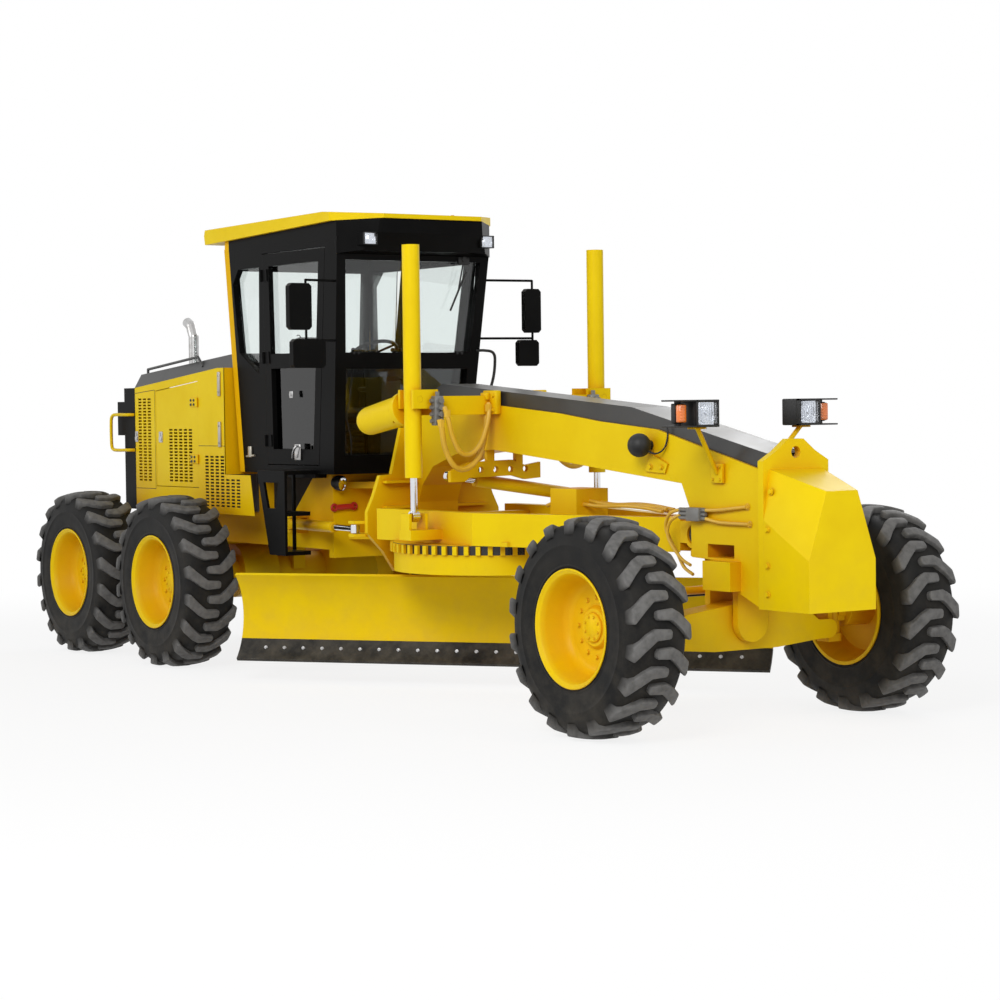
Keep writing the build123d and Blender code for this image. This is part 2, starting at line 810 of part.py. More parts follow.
def front_frame():
    """Arched box beam with its head, rear plate, hitch tongue, saddle and cylinder yokes."""
    outline = [
        (leg_plate_x, 1839),
        (past_hitch(-657), 2066),
        (past_circle(-917), 1933),
        (behind(1185), 1879),
        (behind(574), 1827),
        (behind(-435), 1588),
        (behind(-520), 1588),
        (behind(-520), 757),
        (behind(-423), 757),
        (behind(-200), 846),
        (behind(10), 846),
        (behind(10), 1025),
        (behind(225), 1035),
        (behind(233), 1321),
        (behind(321), 1491),
        (behind(1190), 1572),
        (past_circle(-910), 1616),
        (past_circle(-107), 1686),
        (past_circle(350), 1650),
        (past_hitch(-750), 1560),
        (past_hitch(-600), 1420),
        (past_hitch(-550), 1300),
        (past_hitch(-550), 840),
        (leg_plate_x, 802),
    ]
    body = side_plate(outline, -beam_half, beam_half)
    body -= side_plate([
        (behind(66), 1040),
        (behind(66), 1122),
        (behind(-190), 1122),
        (behind(-190), 1040),
    ], -beam_half - 1, beam_half + 1)
    # rear plate, its ribs and the hitch tongue
    half = [
        (275, 1839), (360, 1503), (459, 1497), (516, 1344),
        (568, 1237), (570, 1086), (440, 950), (340, 802),
    ]
    plate = [(-y, z) for y, z in half] + [(y, z) for y, z in half[::-1]]
    body += cross_plate(plate, leg_plate_x, leg_plate_x + leg_plate_thick)
    for z in (1450, 1269, 1096):
        body += block(leg_plate_x + leg_plate_thick, leg_plate_x + 100, -440, 440, z - 10, z + 10)
    tongue = block(pivot_x, leg_plate_x, -tongue_half, tongue_half, tongue_bottom, tongue_top)
    tongue += bar((pivot_x, 0, tongue_bottom), (pivot_x, 0, tongue_top), tongue_half)
    tongue -= bar((pivot_x, 0, tongue_bottom - 1), (pivot_x, 0, tongue_top + 1), pin_radius + pin_gap)
    body += tongue
    # clevises for the articulation cylinders' rods
    for z0 in (artic_z - 58, artic_z + 36):
        ear = level_plate([
            (leg_plate_x, 480),
            (leg_plate_x, 566),
            (artic_front_x + 30, 640),
            (artic_front_x - 45, 640),
            (artic_front_x - 45, 560),
        ], z0, z0 + 22)
        body += both(ear)
    body += saddle()
    body += both(cylinder_yoke())
    body += head_fittings()
    nodes["front_frame"] = body


saddle_x = past_circle(90)
saddle_z = 1503.0
saddle_pin_y = -393.0
lock_front = saddle_x + 112
lock_rear = saddle_x + 77
lock_pitch = 125.0


def saddle():
    """Lock bar with a row of pin holes, hung under the beam on two hangers."""
    outline = [
        (-455, 1465),
        (-455, 1540),
        (-300, 1600),
        (60, 1610),
        (170, 1570),
        (300, 1590),
        (300, 1480),
        (170, 1470),
        (60, 1500),
        (-300, 1490),
        (-340, 1465),
    ]
    bar_plate = cross_plate(outline, lock_rear, lock_front)
    for k in range(4):
        y = -203 + k * lock_pitch
        bar_plate -= bar((lock_rear - 1, y, 1545), (lock_front + 1, y, 1545), 22)
    for y0 in (-150, 90):
        bar_plate += block(lock_rear, lock_front, y0, y0 + 60, 1545, 1700)
    return bar_plate


yoke_in = 640.0
yoke_out = 830.0
yoke_gap = 75.0
yoke_thick = 22.0
trunnion_radius = 22.0


def cylinder_yoke():
    """Arm from the beam's side to the forked seat of the right lift cylinder."""
    arm = block(lift_x - 97, lift_x + 97, -yoke_in, -beam_half, 1930, 2060)
    for face in (-1, 1):
        x0 = lift_x + face * yoke_gap
        fork = block(x0, x0 + face * yoke_thick, -yoke_out, -yoke_in + 10, trunnion_z - 65, trunnion_z + 65)
        seat = trunnion_radius + pin_gap
        fork -= bar((x0 - 30, -lift_y, trunnion_z), (x0 + 30, -lift_y, trunnion_z), seat)
        arm += fork
    # tapered arm that runs rearward from the fork
    rear = lift_x - yoke_gap - yoke_thick
    arm += side_plate([
        (rear, trunnion_z - 62),
        (rear, trunnion_z - 5),
        (rear - 120, trunnion_z - 15),
        (rear - 545, trunnion_z - 105),
        (rear - 545, trunnion_z - 195),
        (rear - 420, trunnion_z - 190),
    ], -yoke_out + 5, -yoke_in - 40)
    return arm


ear_y = 75.0


def head_fittings():
    """Weight plate with its lifting eye, axle hangers, side blocks and the drawbar's ears."""
    plate = cross_plate([
        (-256, 757),
        (-256, 1640),
        (-150, 1700),
        (-60, 1770),
        (60, 1770),
        (150, 1700),
        (256, 1640),
        (256, 757),
    ], behind(-520), behind(-570))
    plate -= bar((behind(-500), 0, 1690), (behind(-600), 0, 1690), 35)
    body = plate
    body += both(block(behind(13), behind(-252), beam_half - 10, 256, 846, 1025))
    for x0 in (behind(160), behind(-110)):
        hanger = block(x0, x0 + 50, -120, 120, axle_pin_z, 1035 if x0 < front_axle_x else 900)
        hanger += bar((x0, 0, axle_pin_z), (x0 + 50, 0, axle_pin_z), 120)
        body += hanger
    body += bar((behind(160), 0, axle_pin_z), (behind(-160), 0, axle_pin_z), axle_pin_radius)
    for z0, z1 in ((1030, 1068), (1268, 1306)):
        ear = block(ball_x, behind(224), -ear_y, ear_y, z0, z1)
        ear += bar((ball_x, 0, z0), (ball_x, 0, z1), ear_y)
        ear -= bar((ball_x, 0, z0 - 1), (ball_x, 0, z1 + 1), ball_pin_radius + pin_gap)
        body += ear
    return body


def beam_cover():
    """Black cover that lies along the top of the beam."""
    top = [
        (past_hitch(-657), 2066),
        (past_circle(545), 2149),
        (behind(859), 1970),
        (behind(-478), 1684),
        (behind(-478), 1588),
        (behind(-435), 1588),
        (behind(574), 1827),
        (behind(1185), 1879),
        (past_circle(-917), 1933),
    ]
    nodes["beam_cover"] = side_plate(top, -150, 150)


def front_weight():
    """Cast nose weight: wide below, narrowing to a sloped top, bolted to the head plate."""
    rear = Plane(origin=(behind(-570), 0, 0), x_dir=(0, 1, 0), z_dir=(1, 0, 0))
    front = Plane(origin=(behind(-nose_reach), 0, 0), x_dir=(0, 1, 0), z_dir=(1, 0, 0))
    low = [(-256, 757), (-256, 1290), (-205, 1590), (205, 1590), (256, 1290), (256, 757)]
    high = [(-259, 757), (-259, 1060), (-120, 1467), (120, 1467), (259, 1060), (259, 757)]
    body = loft([rear * Polygon(*low, align=None), front * Polygon(*high, align=None)], ruled=True)
    nodes["front_weight"] = body


headlamp_y = 472.0
headlamp_half = 158.0
headlamp_low = 1845.0
headlamp_high = 2010.0


def headlamps():
    """Lamp clusters on slanted stalks at the sides of the head."""
    x0 = behind(-72)
    outer = -headlamp_y - headlamp_half
    inner = -headlamp_y + headlamp_half
    lamp = block(x0, x0 + 150, outer, inner, headlamp_low, headlamp_high)
    rim = block(x0 + 120, x0 + 151, outer + 12, inner - 12, headlamp_low + 15, headlamp_high - 15)
    bezel = block(x0 + 120, x0 + 151, outer, inner, headlamp_low, headlamp_high) - rim
    lamp += Pos(18, 0, 0) * bezel
    stalk = bar((behind(-60), -beam_half - 24, 1560), (x0 + 70, -headlamp_y + 60, 1850), 15)
    foot = block(behind(0), behind(-110), -beam_half - 26, -beam_half, 1500, 1620)
    for side in (-1, 1):
        nodes[f"headlamp_{side_name(side)}"] = on_side(lamp + stalk + foot, side)


# Front axle, wheel lean and steering

axle_pin_z = 640.0
axle_pin_radius = 42.0
lean_y = 680.0
lean_z = 560.0
lean_pin_radius = 28.0
kingpin_y = 785.0
kingpin_radius = 28.0
lean_bar_x = behind(192)
lean_bar_z = 830.0
steer_arm_reach = 300.0
steer_arm_top = 760.0
steer_arm_thick = 24.0
stud_top = steer_arm_top + 14
tie_gap = 0.9               # the stud's edge rises this far as the wheels start to lean
tie_z = stud_top + tie_gap + 26


def front_axle():
    """Tapered axle beam with its centre hub and a forked end for each knuckle."""
    outline = [
        (-590, 500), (-590, 620), (-470, 709), (0, 765), (470, 709), (590, 620), (590, 500),
        (250, 470), (-250, 470),
    ]
    body = cross_plate(outline, behind(95), behind(-95))
    body += bar((behind(109), 0, axle_pin_z), (behind(-109), 0, axle_pin_z), 110)
    body -= bar((behind(200), 0, axle_pin_z), (behind(-200), 0, axle_pin_z), axle_pin_radius + pin_gap)
    for x0 in (behind(95), behind(-61)):
        body += both(block(x0, x0 + 34, 585, lean_y, lean_z - 60, lean_z + 60))
        body += both(bar((x0, lean_y, lean_z), (x0 + 34, lean_y, lean_z), 60))
    body += both(bar((behind(95), lean_y, lean_z), (behind(-95), lean_y, lean_z), lean_pin_radius))
    nodes["front_axle"] = body


def knuckles():
    """Leaning knuckles with their kingpins, and the spindles that steer on them."""
    for side in (-1, 1):
        eye = bar((behind(55), -lean_y, lean_z), (behind(-55), -lean_y, lean_z), 48)
        post = block(behind(55), behind(-55), -kingpin_y + 53, -kingpin_y + 85, 470, 850)
        body = eye + post
        bore = lean_pin_radius + pin_gap
        body -= bar((behind(60), -lean_y, lean_z), (behind(-60), -lean_y, lean_z), bore)
        for z0 in (470, 800):
            body += block(behind(55), behind(-55), -kingpin_y, -kingpin_y + 55, z0, z0 + 50)
            body += bar((front_axle_x, -kingpin_y, z0), (front_axle_x, -kingpin_y, z0 + 50), 55)
        body += bar((front_axle_x, -kingpin_y, 470), (front_axle_x, -kingpin_y, 850), kingpin_radius)
        notch_low = steer_arm_top - steer_arm_thick - 14
        y = -kingpin_y + 52
        body -= block(behind(56), behind(-14), y, y + 34, notch_low, steer_arm_top + 14)
        arm = block(lean_bar_x - 52, behind(0), -kingpin_y + 5, -kingpin_y + 45, 800, 850)
        arm += block(lean_bar_x - 52, lean_bar_x - 30 - seat_gap, -kingpin_y + 5, -lean_y + 40, 795, 860)
        arm += block(lean_bar_x + 30 + seat_gap, lean_bar_x + 60, -kingpin_y + 5, -lean_y + 40, 795, 865)
        body += arm
        nodes[f"knuckle_{side_name(side)}"] = on_side(body, side)

        spindle = bar((front_axle_x, -kingpin_y, 521), (front_axle_x, -kingpin_y, 799), 45)
        spindle += block(behind(50), behind(-50), -hub_face + 10, -kingpin_y, 600, 730)
        spindle += bar((front_axle_x, -kingpin_y, axle_height), (front_axle_x, -hub_face, axle_height), 62)
        arm_tip = (behind(steer_arm_reach), -lean_y)
        arm = level_plate([
            (front_axle_x, -kingpin_y - 30),
            (front_axle_x, -kingpin_y + 30),
            (arm_tip[0], arm_tip[1] + 32),
            (arm_tip[0] - 30, arm_tip[1]),
            (arm_tip[0], arm_tip[1] - 32),
        ], steer_arm_top - steer_arm_thick, steer_arm_top)
        spindle += arm
        spindle += bar((*arm_tip, steer_arm_top - 5), (*arm_tip, stud_top), 14)
        bore = kingpin_radius + pin_gap
        spindle -= bar((front_axle_x, -kingpin_y, 500), (front_axle_x, -kingpin_y, 820), bore)
        nodes[f"spindle_{side_name(side)}"] = on_side(spindle, side)


def steering_rods():
    """Tie rod behind the axle, and the lean bar above it, with open eyes at both ends."""
    x = behind(steer_arm_reach)
    rod = bar((x, -lean_y, tie_z), (x, lean_y, tie_z), 20)
    for side in (-1, 1):
        rod += bar((x, side * lean_y, tie_z - 26), (x, side * lean_y, tie_z + 26), 34)
    nodes["tie_rod"] = rod
    link = bar((lean_bar_x, -lean_y + 20, lean_bar_z), (lean_bar_x, lean_y - 20, lean_bar_z), 26)
    for side in (-1, 1):
        y = side * (lean_y - 20)
        link += bar((lean_bar_x - 30, y, lean_bar_z), (lean_bar_x + 30, y, lean_bar_z), 38)
    nodes["lean_bar"] = link


# Hydraulic cylinders


def cylinder_pair(foot, end, barrel_length, barrel_radius, rod_radius, rod_inside):
    """Return a hollow barrel that starts at its foot and a rod that ends at its eye."""
    line = Vector(*end) - Vector(*foot)
    unit = line.normalized()
    start = Vector(*foot)
    gland = 50.0
    mouth = start + unit * barrel_length
    barrel = bar(tuple(start), tuple(mouth), barrel_radius)
    bore_start = start + unit * (barrel_radius + 15)
    barrel -= bar(tuple(bore_start), tuple(mouth - unit * gland), barrel_radius - 12)
    barrel -= bar(tuple(mouth - unit * (gland + 1)), tuple(mouth + unit), rod_radius + pin_gap)
    inside = mouth - unit * (gland + rod_inside)
    rod = bar(tuple(inside), tuple(Vector(*end)), rod_radius)
    rod += bar(tuple(inside), tuple(inside + unit * 40), barrel_radius - 12.5)
    return barrel, rod


lift_top_z = 3090.0
lift_mouth_z = 1504.0
lift_radius = 60.0
lift_rod_radius = 24.0
ball_pin_radius = 32.0


def lift_cylinders():
    """Upright cylinders that hang in the yokes and carry the drawbar."""
    for side in (-1, 1):
        top = (lift_x, -lift_y, lift_top_z)
        eye = (lift_x, -lift_y, lift_pin_z)
        barrel, rod = cylinder_pair(top, eye, lift_top_z - lift_mouth_z, lift_radius, lift_rod_radius, 480)
        ends = [(lift_x + reach, -lift_y, trunnion_z) for reach in (-96, 96)]
        trunnion = bar(*ends, trunnion_radius)
        bore = [(lift_x, -lift_y, trunnion_z + reach) for reach in (-90, 90)]
        trunnion -= bar(*bore, lift_radius - 6)
        barrel += trunnion
        rod += bar((lift_x, -lift_y - 28, lift_pin_z), (lift_x, -lift_y + 28, lift_pin_z), 38)
        nodes[f"lift_barrel_{side_name(side)}"] = on_side(barrel, side)
        nodes[f"lift_rod_{side_name(side)}"] = on_side(rod, side)


shift_lug_y = 640.0
shift_lug_z = 1350.0


def shift_cylinder():
    """Cylinder from the drawbar's left lug to the saddle, which swings the drawbar sideways."""
    foot = (saddle_x, shift_lug_y, shift_lug_z)
    eye = (saddle_x, saddle_pin_y, saddle_z)
    line = (Vector(*eye) - Vector(*foot)).normalized()
    start = Vector(*foot) + line * 30
    barrel, rod = cylinder_pair(tuple(start), eye, 800, 46, 24, 430)
    hub = bar((saddle_x - 44, shift_lug_y, shift_lug_z), (saddle_x + 44, shift_lug_y, shift_lug_z), 44)
    barrel += hub
    bore = [(saddle_x + reach, shift_lug_y, shift_lug_z) for reach in (-50, 50)]
    barrel -= bar(*bore, 20 + pin_gap)
    rod += bar((saddle_x - 20, saddle_pin_y, saddle_z), (saddle_x + 20, saddle_pin_y, saddle_z), 38)
    nodes["shift_barrel"] = barrel
    nodes["shift_rod"] = rod


def artic_cylinders():
    """Cylinders beside the hitch that fold the machine at its articulation pin."""
    for side in (-1, 1):
        foot = (artic_rear_x, -artic_rear_y, artic_z)
        eye = (artic_front_x, -artic_front_y, artic_z)
        line = (Vector(*eye) - Vector(*foot)).normalized()
        start = Vector(*foot) + line * 25
        barrel, rod = cylinder_pair(tuple(start), eye, 690, 40, 22, 300)
        barrel += bar((foot[0], foot[1], artic_z - 40), (foot[0], foot[1], artic_z + 40), 40)
        bore = [(foot[0], foot[1], artic_z + reach) for reach in (-50, 50)]
        barrel -= bar(*bore, artic_pin_radius + pin_gap)
        rod += bar((eye[0], eye[1], artic_z - 30), (eye[0], eye[1], artic_z + 30), 34)
        nodes[f"artic_barrel_{side_name(side)}"] = on_side(barrel, side)
        nodes[f"artic_rod_{side_name(side)}"] = on_side(rod, side)


# Drawbar, circle and blade

drawbar_bottom = 1050.0
drawbar_plate_top = 1080.0
drawbar_top = 1270.0
universal_radius = 60.0
nose_front = behind(460)
drawbar_rear = past_circle(730)
plate_hole = 490.0


def drawbar_ball():
    """Cross block: an upright pin in the head's ears and a level drum for the drawbar."""
    body = bar((ball_x, 0, 1032), (ball_x, 0, 1304), ball_pin_radius)
    body += bar((ball_x, -60, ball_z), (ball_x, 60, ball_z), universal_radius)
    nodes["drawbar_ball"] = body


def drawbar():
    """Triangular drawbar: box sides that meet at the nose, circle plate, lugs and shoes."""
    half = [(drawbar_rear, 600), (past_circle(-500), 600), (nose_front, 75)]
    inner = [(drawbar_rear, 500), (past_circle(-470), 500), (behind(600), 45)]
    body = None
    for s in (-1, 1):
        beam_plan = [(x, s * y) for x, y in half] + [(x, s * y) for x, y in inner[::-1]]
        beam = level_plate(beam_plan, drawbar_bottom, drawbar_top)
        body = beam if body is None else body + beam
    nose = block(behind(660), nose_front, -75, 75, drawbar_bottom + 10, drawbar_top)
    body += nose
    plate = level_plate([
        (drawbar_rear, -600), (drawbar_rear, 600), (past_circle(-800), 520), (past_circle(-800), -520),
    ], drawbar_bottom, drawbar_plate_top)
    plate -= bar((circle_x, 0, drawbar_bottom - 1), (circle_x, 0, drawbar_plate_top + 1), plate_hole)
    body += plate
    # socket round the universal drum
    socket = bar((ball_x, -75, ball_z), (ball_x, 75, ball_z), 88)
    socket += block(nose_front - 10, ball_x, -75, 75, ball_z - 55, ball_z + 85)
    socket -= bar((ball_x, -76, ball_z), (ball_x, 76, ball_z), universal_radius + pin_gap)
    socket -= block(ball_x - 62, ball_x + 62, -40, 40, ball_z - 120, ball_z + 120)
    body += socket
    # rear cross member and the worm housing that turns the circle
    body += block(past_circle(510), past_circle(410), -500, 500, drawbar_plate_top, drawbar_top - 40)
    body += block(past_circle(-750), past_circle(-1050), -130, 130, drawbar_plate_top - 30, 1430)
    # lift lugs outside the box sides
    arm = block(lift_x - 75, lift_x + 75, -lift_y - 75, -590, drawbar_plate_top, 1150)
    for y0 in (-lift_y - 75, -lift_y + 55):
        arm += block(lift_x - 55, lift_x + 55, y0, y0 + 20, 1100, 1262)
    body += both(arm)
    # fork for the side-shift cylinder on the left box side
    for x0 in (saddle_x - 70, saddle_x + 50):
        body += block(x0, x0 + 18, 500, 600, drawbar_top - 5, shift_lug_z - 60)
        body += side_fork(x0)
    body += bar((saddle_x - 68, shift_lug_y, shift_lug_z), (saddle_x + 68, shift_lug_y, shift_lug_z), 20)
    # shoes that carry the circle
    for k in range(4):
        a = radians(45 + 90 * k)
        shoe = block(565, 632, -60, 60, 966, drawbar_bottom + 5)
        shoe += block(565, 700, -60, 60, 966, 980)
        body += Pos(circle_x, 0, 0) * Rot(0, 0, degrees(a)) * shoe
    nodes["drawbar"] = body


def side_fork(x0):
    ear = cross_plate([
        (520, drawbar_top - 5), (600, drawbar_top - 5), (shift_lug_y + 40, shift_lug_z - 25),
        (shift_lug_y + 40, shift_lug_z + 30), (shift_lug_y - 40, shift_lug_z + 30),
    ], x0, x0 + 18)
    return ear


circle_top = drawbar_bottom - face_gap
circle_gear_radius = 778.0
circle_teeth = 60
tooth_reach = 24.0


def on_circle(shape):
    """Turn a shape from the blade's own frame to its place under the circle.

    In that frame X is forward, across the blade, and Y runs along the blade to the left.
    """
    return Pos(circle_x, 0, 0) * Rot(0, 0, -blade_angle) * shape


blade_shift_rest = -94.0
tilt_x = -300.0
tilt_z = 330.0
tilt_pin_radius = 25.0
tilt_eye = (-240.0, 722.0)
tilt_slope = (0.933, -0.36)


def circle():
    """Toothed ring with its lower band, blade arms and the tip cylinder's barrel."""
    body = Pos(0, 0, circle_top - 32) * Cylinder(circle_gear_radius, 64)
    body -= Pos(0, 0, circle_top - 32) * Cylinder(640, 66)
    teeth = []
    for k in range(circle_teeth):
        tip = circle_gear_radius + tooth_reach
        tooth = block(circle_gear_radius - 6, tip, -16, 16, circle_top - 64, circle_top - 4)
        teeth.append(Rot(0, 0, k * 360 / circle_teeth) * tooth)
    body = body.fuse(*teeth)
    band = Pos(0, 0, 917.5) * Cylinder(775, 137)
    band -= Pos(0, 0, 917.5) * Cylinder(735, 140)
    body += band
    for s in (-1, 1):
        arm = side_plate([
            (-540, 960), (-460, 960), (-290, 390), (-245, 330), (-255, 285), (-345, 285), (-420, 380),
        ], s * 560, s * 600)
        body += arm
        body += bar((tilt_x, s * 480, tilt_z), (tilt_x, s * 600, tilt_z), tilt_pin_radius)
    # arms' cross tube keeps them square
    body += bar((-480, -570, 905), (-480, 570, 905), 30)
    start = (tilt_eye[0] - 500 * tilt_slope[0], 0, tilt_eye[1] - 500 * tilt_slope[1])
    mouth = (start[0] + 320 * tilt_slope[0], 0, start[2] + 320 * tilt_slope[1])
    body += block(-745, start[0] + 20, -40, 40, 855, 945)
    body += bar(start, mouth, 42)
    bore = (start[0] + 30 * tilt_slope[0], 0, start[2] + 30 * tilt_slope[1])
    past = (mouth[0] + 5 * tilt_slope[0], 0, mouth[2] + 5 * tilt_slope[1])
    body -= bar(bore, past, 20 + seat_gap)
    nodes["circle"] = on_circle(body)


rail_reach = 1150.0
rail_back = -185.0
rail_high = 672.0
rail_low = 315.0
cylinder_w = -235.0
shift_lug_w = 1185.0
cylinder_z = 480.0


def tilt_frame():
    """Brackets on the arms' pins that carry the blade's rails and its side-shift barrel."""
    plate = [
        (-345, 300), (-320, 275), (rail_back - seat_gap, 285), (rail_back - seat_gap, 700),
        (-250, 740), (-290, 730), (-345, 380),
    ]
    body = None
    for s in (-1, 1):
        bracket = side_plate(plate, s * 500, s * 545)
        bracket -= bar((tilt_x, s * 490, tilt_z), (tilt_x, s * 555, tilt_z), tilt_pin_radius + pin_gap)
        claw = block(rail_back - 20, -125, s * 500, s * 545, rail_high + seat_gap, rail_high + 25)
        claw += block(rail_back - 20, -145, s * 500, s * 545, rail_low - 22, rail_low - seat_gap)
        bracket += claw
        body = bracket if body is None else body + bracket
    body += block(-280, -225, -510, 510, 590, 640)
    for y0 in (-60, 35):
        body += side_plate([(-280, 630), (-280, 750), (-205, 750), (-225, 630)], y0, y0 + 25)
    barrel = bar((cylinder_w, -760, cylinder_z), (cylinder_w, 480, cylinder_z), 42)
    barrel += bar((cylinder_w, 470, cylinder_z), (cylinder_w, 505, cylinder_z), 42)
    body += barrel
    body -= bar((cylinder_w, -740, cylinder_z), (cylinder_w, 560, cylinder_z), 32)
    nodes["tilt_frame"] = on_circle(body)
    rod_start = (tilt_eye[0] - 430 * tilt_slope[0], 0, tilt_eye[1] - 430 * tilt_slope[1])
    rod = bar(rod_start, (tilt_eye[0], 0, tilt_eye[1]), 20)
    rod += bar((tilt_eye[0], -28, tilt_eye[1]), (tilt_eye[0], 28, tilt_eye[1]), 34)
    nodes["tilt_rod"] = on_circle(rod)


blade_length = 3965.0
blade_bottom = 172.0
blade_height = 610.0
edge_height = 140.0
blade_radius = 413.0
mold_thick = 20.0
edge_thick = 24.0


def blade_arc(z0, z1, thick):
    """Return the curved plate of the blade between two heights, along the whole blade."""
    middle = blade_bottom + blade_height / 2
    depth = sqrt(blade_radius ** 2 - (blade_height / 2) ** 2)
    a0 = degrees(atan2(z0 - middle, sqrt(blade_radius ** 2 - (z0 - middle) ** 2)))
    a1 = degrees(atan2(z1 - middle, sqrt(blade_radius ** 2 - (z1 - middle) ** 2)))
    with BuildSketch(Plane(origin=(0, blade_length / 2, 0), x_dir=(1, 0, 0), z_dir=(0, -1, 0))) as sketch:
        with BuildLine():
            inner = CenterArc((depth, middle), blade_radius, 180 - a0, a0 - a1)
            outer = CenterArc((depth, middle), blade_radius + thick, 180 - a0, a0 - a1)
            Line(inner @ 0, outer @ 0)
            Line(inner @ 1, outer @ 1)
        make_face()
    return extrude(sketch.sketch, blade_length, dir=(0, -1, 0))


def blade():
    """Curved moldboard with its slide rails, and the straight cutting edge below it."""
    split = blade_bottom + edge_height
    shift = Pos(0, blade_shift_rest, 0)
    mold = blade_arc(split, blade_bottom + blade_height, mold_thick)
    mold += block(rail_back, -108, -rail_reach, rail_reach, rail_high - 40, rail_high)
    mold += block(rail_back, -118, -rail_reach, rail_reach, rail_low, rail_low + 35)
    mold += block(cylinder_w - 35, -150, shift_lug_w, shift_lug_w + 35, cylinder_z - 40, cylinder_z + 40)
    mold += bar((cylinder_w, -60, cylinder_z), (cylinder_w, shift_lug_w + 10, cylinder_z), 20)
    nodes["moldboard"] = on_circle(shift * mold)
    nodes["cutting_edge"] = on_circle(shift * blade_arc(blade_bottom, split, edge_thick))


def build():
    """Make every piece of the machine."""
    wheels()
    rear_frame()
    rear_axle()
    engine()
    hood()
    engine_doors()
    hood_top()
    rear_guard()
    exhaust()
    cab_frame()
    cab_doors()
    cab_glass()
    cab_roof()
    cab_interior()
    front_frame()
    beam_cover()
    front_weight()
    headlamps()
    front_axle()
    knuckles()
    steering_rods()
    lift_cylinders()
    shift_cylinder()
    artic_cylinders()
    drawbar_ball()
    drawbar()
    circle()
    tilt_frame()
    blade()


build()
os.makedirs("parts", exist_ok=True)
for node_name, node_shape in nodes.items():
    export_step(node_shape, f"parts/{node_name}.step")
print(len(nodes), "nodes")
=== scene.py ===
# %% [markdown]
# A motor grader levels roads with a long curved blade that hangs under an arched frame.
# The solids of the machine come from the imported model, already at their real size and place.
# This lesson dresses them: finishes for each surface, and small parts that solids leave out.
# Everything is in metres. +X is the machine's front, +Y its left and +Z up.

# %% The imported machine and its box
import json
import math

import bmesh
import bpy
from mathutils import Matrix, Vector
from mathutils.geometry import interpolate_bezier


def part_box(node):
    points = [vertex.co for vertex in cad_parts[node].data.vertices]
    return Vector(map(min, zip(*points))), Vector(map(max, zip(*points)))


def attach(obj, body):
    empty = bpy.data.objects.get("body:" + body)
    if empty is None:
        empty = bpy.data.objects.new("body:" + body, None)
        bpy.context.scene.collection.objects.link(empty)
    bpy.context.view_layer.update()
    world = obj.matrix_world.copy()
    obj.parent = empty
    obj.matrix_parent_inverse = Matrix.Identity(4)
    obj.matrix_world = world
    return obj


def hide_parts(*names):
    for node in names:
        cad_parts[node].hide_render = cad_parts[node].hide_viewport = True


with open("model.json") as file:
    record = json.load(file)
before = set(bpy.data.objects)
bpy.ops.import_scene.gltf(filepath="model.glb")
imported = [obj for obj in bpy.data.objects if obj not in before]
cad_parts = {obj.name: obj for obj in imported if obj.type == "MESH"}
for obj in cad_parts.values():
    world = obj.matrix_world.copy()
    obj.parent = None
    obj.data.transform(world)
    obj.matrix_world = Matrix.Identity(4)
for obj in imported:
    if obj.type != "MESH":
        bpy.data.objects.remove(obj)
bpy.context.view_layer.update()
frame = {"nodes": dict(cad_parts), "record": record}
cad_nodes = frame["nodes"]
SIDES = (("right", -1), ("left", 1))

# %% [markdown]
# The photograph was taken from in front of the right side, a little above the hub height, with a
# long lens. The camera's place and turn were fitted to the six wheels, so it is set by numbers
# and not by eye. A camera looks along its own -Z axis, so it is first rolled, then tipped up
# from straight down, then turned round the machine.

# %% Camera
CAMERA_PLACE = Vector((15.4996, -9.9378, 1.9903))
CAMERA_AZIMUTH = math.radians(55.979)
CAMERA_ELEVATION = math.radians(2.139)
CAMERA_ROLL = math.radians(-0.723)

scene = bpy.context.scene
camera_data = bpy.data.cameras.new("camera")
camera_data.lens = 91.1
camera_data.sensor_width = 36.0
camera = bpy.data.objects.new("camera", camera_data)
scene.collection.objects.link(camera)
scene.camera = camera
camera.matrix_world = (
    Matrix.Translation(CAMERA_PLACE)
    @ Matrix.Rotation(CAMERA_AZIMUTH, 4, "Z")
    @ Matrix.Rotation(math.pi / 2 - CAMERA_ELEVATION, 4, "X")
    @ Matrix.Rotation(CAMERA_ROLL, 4, "Z")
)

# %% [markdown]
# Node trees get long when every node is made by hand. One helper adds a node with its options and
# takes a link or a plain value for each input. Three more add the kinds that come back most: a sum
# or product, a change of range and a noise in the object's own coordinates.

# %% Helpers for nodes


def add(tree, kind, inputs=None, **options):
    """Add a shader node; each input is a socket to link or a plain value."""
    made = tree.nodes.new("ShaderNode" + kind)
    for key, value in options.items():
        setattr(made, key, value)
    for key, value in (inputs or {}).items():
        if isinstance(value, bpy.types.NodeSocket):
            tree.links.new(value, made.inputs[key])
        else:
            made.inputs[key].default_value = value
    return made


def maths(tree, operation, *values):
    """Return the socket of a Math node."""
    return add(tree, "Math", dict(enumerate(values)), operation=operation).outputs[0]


def ranged(tree, value, low, high, to_low=0.0, to_high=1.0, **options):
    """Return a value's range mapped to another, without passing its ends."""
    ends = {"From Min": low, "From Max": high, "To Min": to_low, "To Max": to_high}
    return add(tree, "MapRange", {"Value": value, **ends}, **options).outputs[0]


def noise(tree, scale, detail, rough=0.5):
    """Return a noise that is fixed to the object."""
    place = add(tree, "TexCoord").outputs["Object"]
    inputs = {"Vector": place, "Scale": scale, "Detail": detail, "Roughness": rough}
    return add(tree, "TexNoise", inputs).outputs["Fac"]


